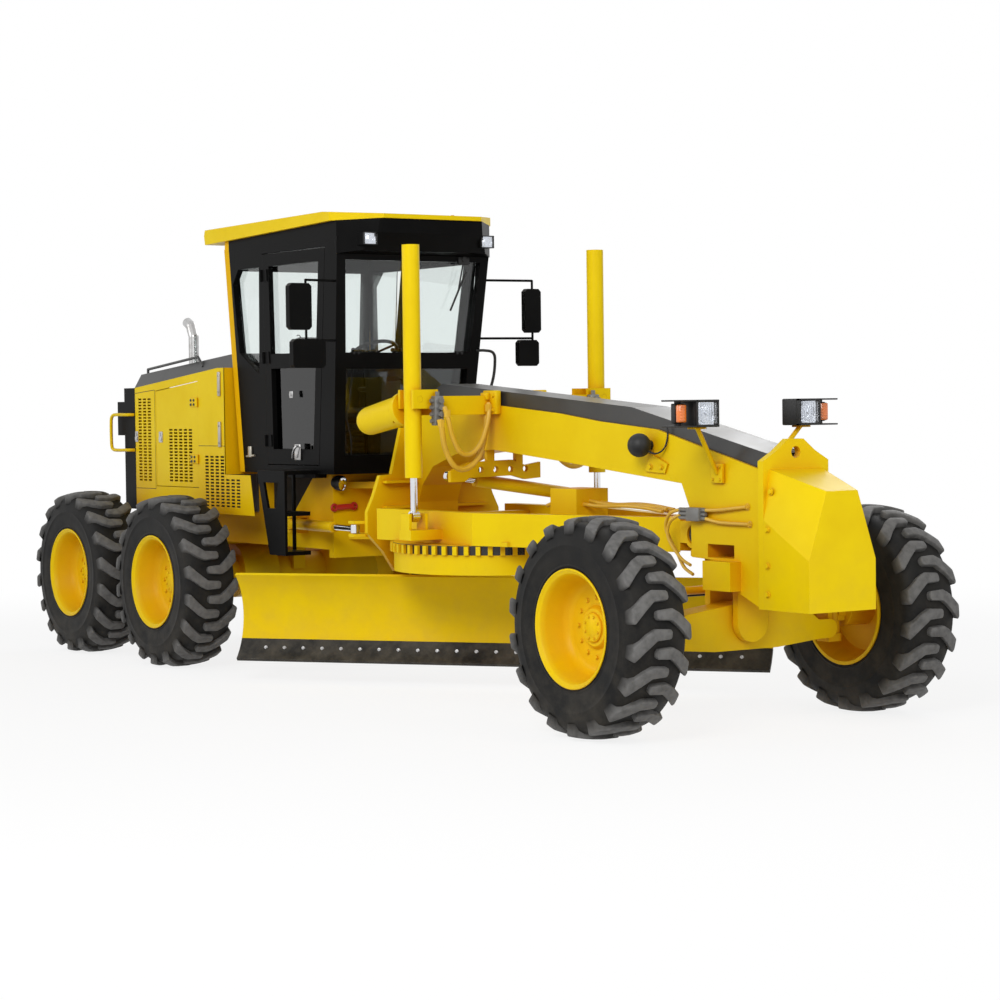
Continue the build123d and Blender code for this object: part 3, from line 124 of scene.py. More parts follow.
# %% [markdown]
# A finished bmesh becomes an object that stays at the origin with its place in its mesh, as the
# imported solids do. Most of the machine is alike on both sides, so a piece is drawn once, on the
# left, and mirrored. A mirror turns faces inside out, so they are turned back.


def as_mesh(name, shape):
    """Return a bmesh as a mesh and free it."""
    mesh = bpy.data.meshes.new(name)
    shape.to_mesh(mesh)
    shape.free()
    return mesh


def new_object(name, shape, finish, body=None, sharp=35.0):
    """Turn a bmesh into a piece that rides on a body, smooth but for edges over an angle."""
    mesh = as_mesh(name, shape)
    mesh.shade_smooth()
    mesh.set_sharp_from_angle(angle=math.radians(sharp))
    mesh.materials.append(finish)
    made = bpy.data.objects.new(name, mesh)
    scene.collection.objects.link(made)
    if body:
        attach(made, body)
    return made


def flipped(shape, factors=(1, -1, 1, 1)):
    """Mirror a bmesh in place, with its faces still outwards."""
    bmesh.ops.transform(shape, verts=shape.verts, matrix=Matrix.Diagonal(factors))
    bmesh.ops.reverse_faces(shape, faces=shape.faces)
    return shape


def pair(name, shape, finish, body, sharp=35.0):
    """Make a left piece and its mirror image, and return them by side."""
    return {
        side: new_object(f"{name}_{side}", one, finish, body.format(side), sharp)
        for side, one in (("right", flipped(shape.copy())), ("left", shape))}


# %% [markdown]
# A studio is a pale floor with large soft lamps. The world is a plain grey light that fills the
# shadows. To a camera, mirror or glass ray both world and floor look white, which gives the
# photograph's white ground without more light on the machine. The floor keeps part of its own
# shading near the machine, so that a soft shadow stays, and is all white further out.

# %% World, floor and lamps
scene.view_settings.view_transform = "Standard"

WORLD_LEVEL = 0.3
FLOOR_REACH = 60.0
FLOOR_WHITE_NEAR = 0.84
FLOOR_FADE = (5.0, 11.0)
WHITE = (1, 1, 1, 1)


def seen_directly(tree):
    """Return a socket that is 1 for camera, glossy and transmission rays and 0 for the rest."""
    path = add(tree, "LightPath").outputs
    first = maths(tree, "MAXIMUM", path["Is Camera Ray"], path["Is Glossy Ray"])
    return maths(tree, "MAXIMUM", first, path["Is Transmission Ray"])


def new_material(name, values):
    """Return a new material, its tree and its shader with some plain values."""
    made = bpy.data.materials.new(name)
    made.use_nodes = True
    shader = made.node_tree.nodes["Principled BSDF"]
    for label, value in values.items():
        shader.inputs[label].default_value = value
    return made, made.node_tree, shader


world = bpy.data.worlds.new("studio")
scene.world = world
world.use_nodes = True
tree = world.node_tree
tree.nodes.clear()
fill = add(tree, "Background", {"Color": WHITE, "Strength": WORLD_LEVEL})
white = add(tree, "Background", {"Color": WHITE, "Strength": 1.0})
mixed = add(tree, "MixShader", {0: seen_directly(tree), 1: fill.outputs[0], 2: white.outputs[0]})
add(tree, "OutputWorld", {"Surface": mixed.outputs[0]})

floor_paint, tree, shader = new_material("floor_paint", {"Base Color": (0.9, 0.9, 0.9, 1), "Roughness": 0.9})
place = add(tree, "TexCoord").outputs["Object"]
distance = add(tree, "VectorMath", {0: place}, operation="LENGTH").outputs["Value"]
fade = ranged(tree, distance, *FLOOR_FADE, FLOOR_WHITE_NEAR, interpolation_type="SMOOTHSTEP")
level = maths(tree, "MULTIPLY", fade, seen_directly(tree))
glow = add(tree, "Emission", {"Color": WHITE, "Strength": 1.0})
mixed = add(tree, "MixShader", {0: level, 1: shader.outputs[0], 2: glow.outputs[0]})
tree.links.new(mixed.outputs[0], tree.nodes["Material Output"].inputs["Surface"])

floor_shape = bmesh.new()
bmesh.ops.create_grid(floor_shape, x_segments=1, y_segments=1, size=FLOOR_REACH)
floor = new_object("floor", floor_shape, floor_paint)

for name, place, target, size, power in (
        ("key", (10, -11, 9), (0, 0, 1.0), 6, 1350), ("side", (-7, -13, 7), (-1, 0, 1.0), 7, 420),
        ("front", (15, 2, 6), (3, 0, 1.0), 5, 340), ("back", (-6, 12, 9), (0, 0, 1.5), 8, 560)):
    data = bpy.data.lights.new(name, "AREA")
    data.shape = "SQUARE"
    data.size = size
    data.energy = power
    lamp = bpy.data.objects.new(name, data)
    lamp.location = place
    lamp.rotation_mode = "QUATERNION"
    lamp.rotation_quaternion = (Vector(target) - Vector(place)).to_track_quat("-Z", "Y")
    scene.collection.objects.link(lamp)
print("lamps of", sum(light.energy for light in bpy.data.lights), "W")

# %% [markdown]
# Three effects come back in most finishes, so each is a node group, built once. Mottle is a soft
# cloud of slightly different colour with a fine grain. Edge wear uses the Bevel node, which
# rounds the shading of hard edges, and finds edges by comparing the rounded normal with the flat
# one. Dust gathers low down and on faces that look up. A group puts out only masks and normals.

# %% Node groups for mottle, edge wear and dust


def group(name, inputs, outputs):
    """Start a node group and return it with its given sockets and its results."""
    made = bpy.data.node_groups.new(name, "ShaderNodeTree")
    for label, value in inputs.items():
        socket = made.interface.new_socket(label, in_out="INPUT", socket_type="NodeSocketFloat")
        socket.default_value = value
    for label, kind in outputs.items():
        made.interface.new_socket(label, in_out="OUTPUT", socket_type="NodeSocket" + kind)
    return made, made.nodes.new("NodeGroupInput").outputs, made.nodes.new("NodeGroupOutput").inputs


mottle_group, given, result = group(
    "mottle", {"Scale": 3.0, "Grain Scale": 300.0}, {"Mask": "Float", "Grain": "Float"})
cloud = ranged(mottle_group, noise(mottle_group, given["Scale"], 5.0, 0.6), 0.35, 0.68)
mottle_group.links.new(cloud, result["Mask"])
mottle_group.links.new(noise(mottle_group, given["Grain Scale"], 2.0), result["Grain"])

wear_group, given, result = group(
    "edge_wear", {"Radius": 0.004, "Scale": 14.0}, {"Mask": "Float", "Normal": "Vector"})
rounded = add(wear_group, "Bevel", {"Radius": given["Radius"]}, samples=4).outputs[0]
flat = add(wear_group, "NewGeometry").outputs["Normal"]
same = add(wear_group, "VectorMath", {0: rounded, 1: flat}, operation="DOT_PRODUCT").outputs["Value"]
chipped = ranged(wear_group, noise(wear_group, given["Scale"], 6.0, 0.7), 0.48, 0.62)
worn = maths(wear_group, "MULTIPLY", ranged(wear_group, same, 0.97, 0.8), chipped)
wear_group.links.new(worn, result["Mask"])
wear_group.links.new(rounded, result["Normal"])


def axes(tree, kind="TexCoord", output="Object"):
    """Return the separate X, Y and Z of a vector, the object coordinates unless told."""
    return add(tree, "SeparateXYZ", {0: add(tree, kind).outputs[output]}).outputs


dust_group, given, result = group("dust", {"Top": 1.2, "Level": 0.5}, {"Mask": "Float"})
low = ranged(dust_group, axes(dust_group)["Z"], given["Top"], 0.0)
upward = ranged(dust_group, axes(dust_group, "NewGeometry", "Normal")["Z"], 0.5, 1.0, 0.0, 0.5)
higher = maths(dust_group, "MAXIMUM", low, upward)
patches = ranged(dust_group, noise(dust_group, 6.0, 6.0, 0.65), 0.38, 0.7)
dusty = maths(dust_group, "MULTIPLY", higher, patches)
dust_group.links.new(maths(dust_group, "MULTIPLY", dusty, given["Level"]), result["Mask"])
print("groups", [g.name for g in bpy.data.node_groups])

# %% [markdown]
# Every finish below follows one plan: a colour and a second, slightly different one mixed by the
# mottle, bare metal or primer where edges are worn, then dust on top. The grain drives a weak
# bump over the rounded normal. What is the same all over, such as metallic, stays on the shader.

# %% A maker of finishes
DUST_COLOUR = (0.3, 0.26, 0.2, 1)


def placed(tree, which, **values):
    """Place one of the node groups with its own values and return its outputs."""
    made = tree.nodes.new("ShaderNodeGroup")
    made.node_tree = which
    for label, value in values.items():
        made.inputs[label.replace("_", " ")].default_value = value
    return made.outputs


def blend_colours(tree, mask, first, second):
    """Mix two colours, each a socket or a plain value, by a mask."""
    return add(tree, "Mix", {0: mask, 6: first, 7: second}, data_type="RGBA").outputs[2]


def finish(
        name, colour, second, roughness, metallic=0.0, specular=0.5, coat=0.0, scale=3.0, grain=300.0,
        grain_depth=0.02, edge=0.004, bare=(0.12, 0.11, 0.1), wear=0.5, dust=0.4, dust_top=1.2):
    """Make a finish: mottled colour, worn edges, dust and a fine grain."""
    made, tree, shader = new_material(name, {
        "Metallic": metallic, "Specular IOR Level": specular, "Coat Weight": coat, "Coat Roughness": 0.12})
    clouds = placed(tree, mottle_group, Scale=scale, Grain_Scale=grain)
    worn = placed(tree, wear_group, Radius=edge)
    dusty = placed(tree, dust_group, Top=dust_top, Level=dust)["Mask"]
    painted = blend_colours(tree, clouds["Mask"], (*colour, 1), (*second, 1))
    chipped = blend_colours(tree, maths(tree, "MULTIPLY", worn["Mask"], wear), painted, (*bare, 1))
    tree.links.new(blend_colours(tree, dusty, chipped, DUST_COLOUR), shader.inputs["Base Color"])
    uneven = ranged(tree, clouds["Mask"], 0.0, 1.0, roughness - 0.04, roughness + 0.06)
    tree.links.new(maths(tree, "MAXIMUM", uneven, dusty), shader.inputs["Roughness"])
    bump = {"Height": clouds["Grain"], "Normal": worn["Normal"], "Strength": grain_depth, "Distance": 0.002}
    tree.links.new(add(tree, "Bump", bump).outputs[0], shader.inputs["Normal"])
    return made


def tint(material, mask, colour):
    """Lay a colour over a finish's present base colour where a mask is 1."""
    tree = material.node_tree
    socket = tree.nodes["Principled BSDF"].inputs["Base Color"]
    present = socket.links[0].from_socket if socket.links else tuple(socket.default_value)
    tree.links.new(blend_colours(tree, mask, present, (*colour, 1)), socket)


# %% [markdown]
# The colours were read from the photograph: a warm yellow with a painted orange shade in hollows,
# as it turns orange where it lights itself, paint so black that its panels show only by their edges,
# a grey cover on the arch, dull rubber, and the bright rods, stack, latches and lamp glasses.

# %% The finishes
yellow = finish(
    "yellow_paint", (0.84, 0.61, 0.001), (0.8, 0.56, 0.001), 0.4, specular=0.12, wear=0.2, dust=0.12)
BLACKS = ((0.003,) * 3, (0.005,) * 3, 0.34)
CLEAN = {"edge": 0.001, "wear": 0.0, "dust": 0.1}
black = finish(
    "black_paint", *BLACKS, specular=0.04, wear=0.2, dust=0.2, dust_top=0.9, bare=(0.05, 0.05, 0.05))
cover_grey = finish(
    "cover_paint", (0.022,) * 3, (0.032, 0.032, 0.031), 0.36, wear=0.2, dust=0.5, dust_top=0.6)
black_plastic = finish(
    "black_plastic", (0.008,) * 3, (0.012,) * 3, 0.5, specular=0.35, grain=700.0, grain_depth=0.08,
    wear=0.0, dust=0.15)
root_band_black = finish("root_band_black", (0.012, 0.01, 0.008), (0.03, 0.022, 0.012), 0.3, **CLEAN)
chrome = finish("chrome", (0.75, 0.76, 0.78), (0.68, 0.69, 0.71), 0.1, metallic=1.0, **CLEAN)
bright_steel = finish("bright_steel", (0.52,) * 3, (0.38, 0.37, 0.36), 0.3, metallic=1.0, scale=12.0, **CLEAN)
plated = finish(
    "plated_steel", (0.5, 0.47, 0.4), (0.36, 0.33, 0.27), 0.36, metallic=0.9, wear=0.2, edge=0.001)
dark_iron = finish(
    "dark_iron", (0.05, 0.048, 0.045), (0.085, 0.078, 0.07), 0.62, metallic=0.3, scale=8.0, dust=0.6)
blade_steel = finish(
    "blade_steel", (0.012, 0.0115, 0.011), (0.032, 0.03, 0.027), 0.5, metallic=0.3, specular=0.2, scale=9.0,
    grain_depth=0.2, bare=(0.2, 0.19, 0.18), wear=0.9, dust=0.35, dust_top=0.5)
red_paint = finish("red_paint", (0.5, 0.02, 0.012), (0.4, 0.015, 0.01), 0.4, edge=0.001, wear=0.2)
valve_grey = finish(
    "cast_grey", (0.22, 0.22, 0.21), (0.16, 0.155, 0.15), 0.5, metallic=0.4, grain_depth=0.2, edge=0.002)
hose_yellow = finish("painted_pipe", (0.72, 0.43, 0.02), (0.6, 0.36, 0.03), 0.38, edge=0.001, wear=0.15)
amber_lamp = finish("amber_lamp", (0.85, 0.2, 0.01), (0.75, 0.14, 0.01), 0.15, coat=1.0, **CLEAN)
red_lamp = finish("red_lamp", (0.5, 0.008, 0.006), (0.4, 0.006, 0.005), 0.15, coat=1.0, **CLEAN)

# Painted shade: an ambient occlusion mask lays a deep orange over the yellow in hollows, corners and between
# parts, where the paint is shaded.
tree = yellow.node_tree
painted_shade_ao = add(tree, "AmbientOcclusion", {"Distance": 0.6}, samples=6).outputs["AO"]
tint(yellow, ranged(tree, painted_shade_ao, 0.95, 0.25, 0.0, 0.85), (0.66, 0.25, 0.002))


def clear(name, colour, roughness, specular=0.5):
    """Make a clear finish whose smears only change its roughness."""
    made, tree, shader = new_material(name, {
        "Base Color": (*colour, 1), "Transmission Weight": 1.0, "Specular IOR Level": specular, "IOR": 1.45})
    smears = placed(tree, mottle_group, Scale=6.0, Grain_Scale=90.0)["Mask"]
    tree.links.new(ranged(tree, smears, 0.0, 1.0, roughness, roughness * 2), shader.inputs["Roughness"])
    return made


glass = clear("window_glass", (0.86, 0.9, 0.89), 0.004, 0.3)
lens = clear("lamp_glass", (0.95, 0.97, 1.0), 0.04)
print(len(bpy.data.materials), "finishes")

# %% [markdown]
# Some finishes need one more colour in a fixed place: a painted shade on the door's lower pane,
# which stands for the dark cab behind it, the yellow corner post of the black cab, the dusty tops
# of the tyre's lugs. A mask picks the place and a mix lays the colour over what the finish already has.

# %% Colours in fixed places
CAB_POST_FRONT = -1.836
CAB_LEAN = 0.0348
CAB_SPREAD = 0.0452
CAB_SKIN = 0.512
BELT_HEIGHT = 2.325

cab_black = finish("cab_paint", *BLACKS, specular=0.04, wear=0.15, dust=0.2, dust_top=0.9)
tree = cab_black.node_tree
spot = axes(tree)
leaned = maths(tree, "ADD", spot["X"], maths(tree, "MULTIPLY", spot["Z"], CAB_LEAN))
behind = maths(tree, "LESS_THAN", leaned, CAB_POST_FRONT)
spread = maths(tree, "MULTIPLY", spot["Z"], -CAB_SPREAD)
outward = maths(tree, "ADD", maths(tree, "ABSOLUTE", spot["Y"]), spread)
flank = maths(tree, "GREATER_THAN", outward, CAB_SKIN)
tint(cab_black, maths(tree, "MULTIPLY", behind, flank), (0.78, 0.44, 0.004))

door_glass = clear("door_glass", (0.86, 0.9, 0.89), 0.004, 0.12)
# Painted shade: below the belt line the pane is darkened to stand for the dark cab seen through it.
tree = door_glass.node_tree
tint(door_glass, maths(tree, "LESS_THAN", axes(tree)["Z"], BELT_HEIGHT), (0.02, 0.022, 0.022))

tyre_rubber = finish(
    "tyre_rubber", (0.005,) * 3, (0.009, 0.0088, 0.0085), 0.6, specular=0.15, scale=7.0, grain=260.0,
    grain_depth=0.25, edge=0.002, wear=0.0, dust=0.12, dust_top=1.4)
tree = tyre_rubber.node_tree
tread = add(tree, "Attribute", attribute_name="tread").outputs["Fac"]
patchy = ranged(tree, noise(tree, 22.0, 5.0), 0.3, 0.6, 0.6)
tint(tyre_rubber, maths(tree, "MULTIPLY", tread, patchy), (0.15, 0.147, 0.143))

# %% [markdown]
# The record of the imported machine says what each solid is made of, and each kind has its finish
# here. The cab and the door panes then get their own.

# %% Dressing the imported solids


def dress(name, made):
    """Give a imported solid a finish."""
    for one in cad_nodes[name].material_slots:
        one.link = "OBJECT"
        one.material = made


BY_SLOT = {
    "yellow_paint": yellow, "black_paint": black, "grey_paint": cover_grey, "black_plastic": black_plastic,
    "bright_steel": bright_steel, "chrome": chrome, "worn_steel": blade_steel, "dark_iron": dark_iron,
    "glass": glass, "tyre": tyre_rubber,
}
for row in frame["record"]["subparts"]:
    dress(row["node"], BY_SLOT[row["material_slot"]])
dress("cab_frame", cab_black)
for side, _ in SIDES:
    dress(f"door_glass_{side}", door_glass)

# %% [markdown]
# Most small parts are boxes, rods and flat outlines that are pulled into plates. Each helper adds
# one such form to a bmesh with an operator, so that the same bmesh can collect many of them and
# become one piece.

# %% Forms that collect in one bmesh


def move(shape, matrix):
    """Move or turn a whole bmesh and return it."""
    bmesh.ops.transform(shape, verts=shape.verts, matrix=matrix)
    return shape


def join_in(target, other):
    """Move everything of one bmesh into another."""
    mesh = as_mesh("joined", other)
    target.from_mesh(mesh)
    bpy.data.meshes.remove(mesh)


def round_edges(made, edges, width):
    """Bevel edges with two facets."""
    bmesh.ops.bevel(
        made, geom=edges, offset=width, offset_type="OFFSET", segments=2, profile=0.5, affect="EDGES",
        material=-1)


def box_in(made, low, high, bevel=0.0):
    """Add a box between two corners, with its edges bevelled."""
    size = [b - a for a, b in zip(low, high)]
    middle = [(a + b) / 2 for a, b in zip(low, high)]
    matrix = Matrix.Translation(middle) @ Matrix.Diagonal((*size, 1))
    verts = bmesh.ops.create_cube(made, size=1, matrix=matrix)["verts"]
    if bevel:
        round_edges(made, list({edge for vert in verts for edge in vert.link_edges}), bevel)


def rod_in(made, start, end, radius, sides=20, end_radius=None):
    """Add a round rod, or a cone where it has an end radius, between two points."""
    line = Vector(end) - Vector(start)
    turn = line.to_track_quat("Z", "Y").to_matrix().to_4x4()
    bmesh.ops.create_cone(
        made, cap_ends=True, segments=sides, radius1=radius,
        radius2=radius if end_radius is None else end_radius, depth=line.length,
        matrix=Matrix.Translation(Vector(start) + line / 2) @ turn)


def ball_in(shape, centre, radius):
    """Add a round ball."""
    place = Matrix.Translation(centre)
    bmesh.ops.create_uvsphere(shape, u_segments=24, v_segments=14, radius=radius, matrix=place)


def bolt_in(made, place, out, across):
    """Add a hexagon bolt head with a washer, standing out along a direction."""
    place = Vector(place)
    out = Vector(out).normalized()
    rod_in(made, place, place + out * across * 0.12, across * 0.72, 16)
    rod_in(made, place, place + out * across * 0.5, across * 0.55, 6, across * 0.5)


def side_bolts(made, y, across, places):
    """Add bolts that stand out to the left, each at its X and Z."""
    for x, z in places:
        bolt_in(made, (x, y, z), (0, 1, 0), across)


def around(count, radius, share=0.0):
    """Return places round a circle as pairs of distances."""
    turns = [2 * math.pi * (k + share) / count for k in range(count)]
    return [(radius * math.sin(turn), radius * math.cos(turn)) for turn in turns]


def pull(made, faces, shift, **options):
    """Extrude faces, move what comes out and return its corners."""
    pulled = bmesh.ops.extrude_face_region(made, geom=faces, **options)["geom"]
    moved = [g for g in pulled if isinstance(g, bmesh.types.BMVert)]
    bmesh.ops.translate(made, verts=moved, vec=shift)
    return moved


def plate_in(made, points, near, far):
    """Add an outline in XZ, pulled into a plate from one Y to another."""
    face = made.faces.new([made.verts.new((x, near, z)) for x, z in points])
    pull(made, [face], (0, far - near, 0))
    bmesh.ops.recalc_face_normals(made, faces=made.faces)


def everything(shape):
    """Return all that a bmesh holds."""
    return shape.verts[:] + shape.edges[:] + shape.faces[:]


def cut(shape, place, direction, near=1e-6):
    """Cut every face of a bmesh along a plane."""
    bmesh.ops.bisect_plane(shape, geom=everything(shape), plane_co=place, plane_no=direction, dist=near)


# %% [markdown]
# Tyres, rims and many other parts are turned: one half section is drawn as a wire and spun about
# the axle. A full spin closes on itself, so its last ring is merged with its first, and the
# normals are set outwards once the poles are closed.

# %% Turned shapes


def turned(profile, steps=96):
    """Spin a closed (y, radius) outline about the Y axis and return the bmesh."""
    made = bmesh.new()
    points = [made.verts.new((0, y, r)) for y, r in profile]
    edges = [made.edges.new((points[i - 1], points[i])) for i in range(len(points))]
    bmesh.ops.spin(
        made, geom=points + edges, cent=(0, 0, 0), axis=(0, 1, 0), angle=2 * math.pi, steps=steps,
        use_merge=True, use_duplicate=False)
    bmesh.ops.remove_doubles(made, verts=made.verts, dist=1e-6)
    bmesh.ops.recalc_face_normals(made, faces=made.faces)
    return made


# %% [markdown]
# A grader's tyre has a smooth carcass and bent lugs, left and right in turn: each starts past the
# middle of the tread, runs across it, bends and ends on the shoulder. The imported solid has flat
# facets, so a turned mesh stands for it. One lug is drawn flat, pulled up, cut into short lengths
# and wrapped round the tread by turning its length into an angle. A spin copies it into a row.

# %% Tyres
TYRE_HALF_SECTION = [
    (0.0, 0.628), (0.1, 0.627), (0.165, 0.619), (0.189, 0.6), (0.2, 0.572), (0.207, 0.54),
    (0.2095, 0.505), (0.212, 0.5), (0.212, 0.494), (0.2095, 0.489), (0.209, 0.46), (0.206, 0.42),
    (0.2, 0.385), (0.2025, 0.38), (0.2025, 0.372), (0.197, 0.368), (0.192, 0.352), (0.1885, 0.338),
    (0.185, 0.3302),
]
# across the tread, then along it
LUG_OUTLINE = [
    (-0.052, -0.016), (-0.042, -0.03), (0.064, -0.037), (0.12, -0.008), (0.207, 0.066), (0.2125, 0.148),
    (0.196, 0.166), (0.13, 0.098), (0.056, 0.036), (-0.042, 0.03), (-0.052, 0.016),
]
LUG_FOOT = 0.56
LUG_TOP = 0.6645
LUG_CROWN = 0.62
LUG_COUNT = 18
LUG_BEVEL = 0.009
LUG_PIECE = (0.028, 0.03)
WORN_FROM = 0.64
WORN_DEPTH = 0.018


def lug():
    """Return one lug of the +Y side, wrapped round the tread at its top."""
    made = bmesh.new()
    face = made.faces.new([made.verts.new((s, y, LUG_FOOT)) for y, s in LUG_OUTLINE])
    top = pull(made, [face], (0, 0, LUG_TOP - LUG_FOOT))
    bmesh.ops.delete(made, geom=[face], context="FACES_ONLY")
    rim_edges = [e for e in made.edges if all(v in top for v in e.verts)]
    upright = [e for e in made.edges if abs(e.verts[0].co.z - e.verts[1].co.z) > 0.02]
    round_edges(made, rim_edges + upright, LUG_BEVEL)
    for k in range(-1, 6):
        cut(made, (k * LUG_PIECE[0], 0, 0), (1, 0, 0), 1e-5)
    for k in range(1, 7):
        cut(made, (0, k * LUG_PIECE[1], 0), (0, 1, 0), 1e-5)
    bmesh.ops.recalc_face_normals(made, faces=made.faces)
    worn = made.verts.layers.float.new("tread")
    for vert in made.verts:
        s, y, height = vert.co
        vert[worn] = min(1.0, max(0.0, (height - WORN_FROM) / WORN_DEPTH))
        radius = height - LUG_CROWN * y * y if height > 0.6 else height
        angle = s / LUG_TOP
        vert.co = (radius * math.sin(angle), y, radius * math.cos(angle))
    return made


tyre_shape = turned(TYRE_HALF_SECTION[::-1] + [(-y, r) for y, r in TYRE_HALF_SECTION[1:]])
tyre_shape.verts.layers.float.new("tread")
lug_pitch = 2 * math.pi / LUG_COUNT
lug_row = lug()
bmesh.ops.spin(
    lug_row, geom=everything(lug_row), cent=(0, 0, 0), axis=(0, 1, 0), angle=2 * math.pi - lug_pitch,
    steps=LUG_COUNT - 1, use_duplicate=True)
other_row = move(flipped(lug_row.copy()), Matrix.Rotation(lug_pitch / 2, 4, "Y"))
join_in(tyre_shape, lug_row)
join_in(tyre_shape, other_row)
print("a tyre has", sum(len(face.verts) - 2 for face in tyre_shape.faces), "triangles")

# %% [markdown]
# The rims are one casting and one pressing each: a rolled flange, a deep dish and a hub with its
# cap. Nuts ring the disc and bolts ring the cap. The outer face is drawn towards +Y, and the
# wheels of the right side are turned round.

# %% Rims
RIM_SECTION = [
    (0.05, 0.0), (0.05, 0.05), (0.046, 0.056), (0.046, 0.08), (0.04, 0.088), (0.03, 0.09),
    (0.03, 0.112), (0.024, 0.12), (0.01, 0.128), (0.005, 0.134), (0.005, 0.236), (0.01, 0.256),
    (0.024, 0.274), (0.06, 0.292), (0.15, 0.316), (0.186, 0.326), (0.194, 0.334), (0.198, 0.342),
    (0.203, 0.3455), (0.2065, 0.35), (0.2065, 0.3555), (0.203, 0.359), (0.198, 0.359), (0.194, 0.355),
    (0.185, 0.3295), (-0.185, 0.3295), (-0.194, 0.355), (-0.205, 0.355), (-0.205, 0.333), (-0.013, 0.272),
    (-0.013, 0.105), (-0.2145, 0.105), (-0.2145, 0.0),
]
rim_shape = turned(RIM_SECTION)
side_bolts(rim_shape, 0.0048, 0.022, around(12, 0.178))
side_bolts(rim_shape, 0.0458, 0.013, around(8, 0.068, 0.5))
rod_in(rim_shape, (0, 0.012, 0.262), (0, 0.05, 0.258), 0.006, 10)

# %% Six wheels


def middle_of(node):
    """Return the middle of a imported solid's box."""
    low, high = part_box(node)
    return (Vector(low) + Vector(high)) / 2


for place in ("front", "middle", "rear"):
    for side, sign in SIDES:
        tyre = f"tyre_{place}_{side}"
        body = f"wheel_{place}_{side}"
        centre = Matrix.Translation(middle_of(tyre))
        shape = tyre_shape.copy()
        if place != "front":
            flipped(shape, (-1, 1, 1, 1))
        made = new_object(f"lugged_{tyre}", move(shape, centre), tyre_rubber, body)
        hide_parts(tyre)
        turn = Matrix.Rotation(math.pi if sign < 0 else 0, 4, "Z")
        made = new_object(f"dished_rim_{place}_{side}", move(rim_shape.copy(), centre @ turn), yellow, body)
        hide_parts(f"rim_{place}_{side}")
print("wheels at", [round(v, 3) for v in middle_of("tyre_front_right")])

# %% [markdown]
# The sides of the rear hood are sheets full of short slots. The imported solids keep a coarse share
# of them. Here the side outline is a single face, cut along every slot's lines; the cells that
# are slots are deleted, and the sheet that is left is given its thickness. This is quicker and
# cleaner than hundreds of boolean cuts, and real perforated sheet is punched the same way.

# %% Perforated sheets
HOOD_SIDE = 0.695
HOOD_REAR = -3.583
HOOD_KINK = -2.113
HOOD_FRONT = -2.007
SKIRT_FRONT = -1.603
SKIRT_TOE = -1.543
HOOD_BOTTOM = 1.17
SKIRT_TOP = 1.48
HOOD_REAR_TOP = 2.173
HOOD_TOP = 2.311
SHEET = 0.004
SLOT = (0.058, 0.0135)
PITCH = (0.086, 0.0255)


def slot_cells(left, bottom, columns, rows):
    """Return the (x0, x1, z0, z1) of each slot in a field that starts at its lower rear corner."""
    corners = [(left + i * PITCH[0], bottom + k * PITCH[1]) for i in range(columns) for k in range(rows)]
    return [(x, x + SLOT[0], z, z + SLOT[1]) for x, z in corners]


def punch(sheet, inside):
    """Delete the faces of a sheet whose middles pass a test."""
    middles = {face: face.calc_center_median() for face in sheet.faces}
    bmesh.ops.delete(sheet, geom=[face for face, at in middles.items() if inside(at)], context="FACES")


def perforated(outline, fields):
    """Return an outline in XZ as a sheet in the left side's plane, with its slots punched out."""
    sheet = bmesh.new()
    sheet.faces.new([sheet.verts.new((x, HOOD_SIDE, z)) for x, z in outline])
    slots = [cell for field in fields for cell in slot_cells(*field)]
    for x in sorted({round(v, 5) for cell in slots for v in cell[:2]}):
        cut(sheet, (x, 0, 0), (1, 0, 0))
    for z in sorted({round(v, 5) for cell in slots for v in cell[2:]}):
        cut(sheet, (0, 0, z), (0, 0, 1))
    punch(sheet, lambda at: any(x0 < at.x < x1 and z0 < at.z < z1 for x0, x1, z0, z1 in slots))
    return sheet


def thicken(sheet):
    """Give a sheet its thickness by pulling all of its faces inwards."""
    pull(sheet, sheet.faces[:], (0, -SHEET, 0), use_keep_orig=True)
    bmesh.ops.recalc_face_normals(sheet, faces=sheet.faces)


# %% [markdown]
# The door opening comes out of the same cutting: four lines are cut round it, and every cell that
# lies in it is deleted. Two cross walls join the sides at the hood's ends.

# %% Hood shell
DOOR_REAR = -3.198
DOOR_FRONT = -2.453
DOOR_BOTTOM = 1.367
DOOR_TOPS = (2.145, 2.215)
REAR_FIELD = (-3.519, 1.408, 3, 27)
SKIRT_FIELD = (-2.342, 1.227, 4, 16)
SKIRT_LOW_FIELD = (-2.342 + 4 * PITCH[0], 1.227, 3, 9)


def in_doorway(at):
    """Tell whether a place is under the sloped top of the engine door's opening."""
    share = (at.x - DOOR_REAR) / (DOOR_FRONT - DOOR_REAR)
    return 0 < share < 1 and DOOR_BOTTOM < at.z < DOOR_TOPS[0] + share * (DOOR_TOPS[1] - DOOR_TOPS[0])


hood_outline = [
    (HOOD_REAR, HOOD_BOTTOM), (SKIRT_TOE, HOOD_BOTTOM), (SKIRT_FRONT, SKIRT_TOP), (HOOD_FRONT, SKIRT_TOP),
    (HOOD_FRONT, HOOD_TOP), (HOOD_KINK, HOOD_TOP), (HOOD_REAR, HOOD_REAR_TOP)]
shell = perforated(hood_outline, [REAR_FIELD, SKIRT_FIELD, SKIRT_LOW_FIELD])
slope = Vector((DOOR_TOPS[0] - DOOR_TOPS[1], 0, DOOR_FRONT - DOOR_REAR)).normalized()
for place, direction in (
        ((DOOR_REAR, 0, 0), (1, 0, 0)), ((DOOR_FRONT, 0, 0), (1, 0, 0)), ((0, 0, DOOR_BOTTOM), (0, 0, 1)),
        ((DOOR_REAR, 0, DOOR_TOPS[0]), slope)):
    cut(shell, place, direction)
punch(shell, in_doorway)
thicken(shell)
join_in(shell, flipped(shell.copy()))
box_in(shell, (HOOD_REAR, -HOOD_SIDE, HOOD_BOTTOM), (HOOD_REAR + SHEET, HOOD_SIDE, HOOD_REAR_TOP))
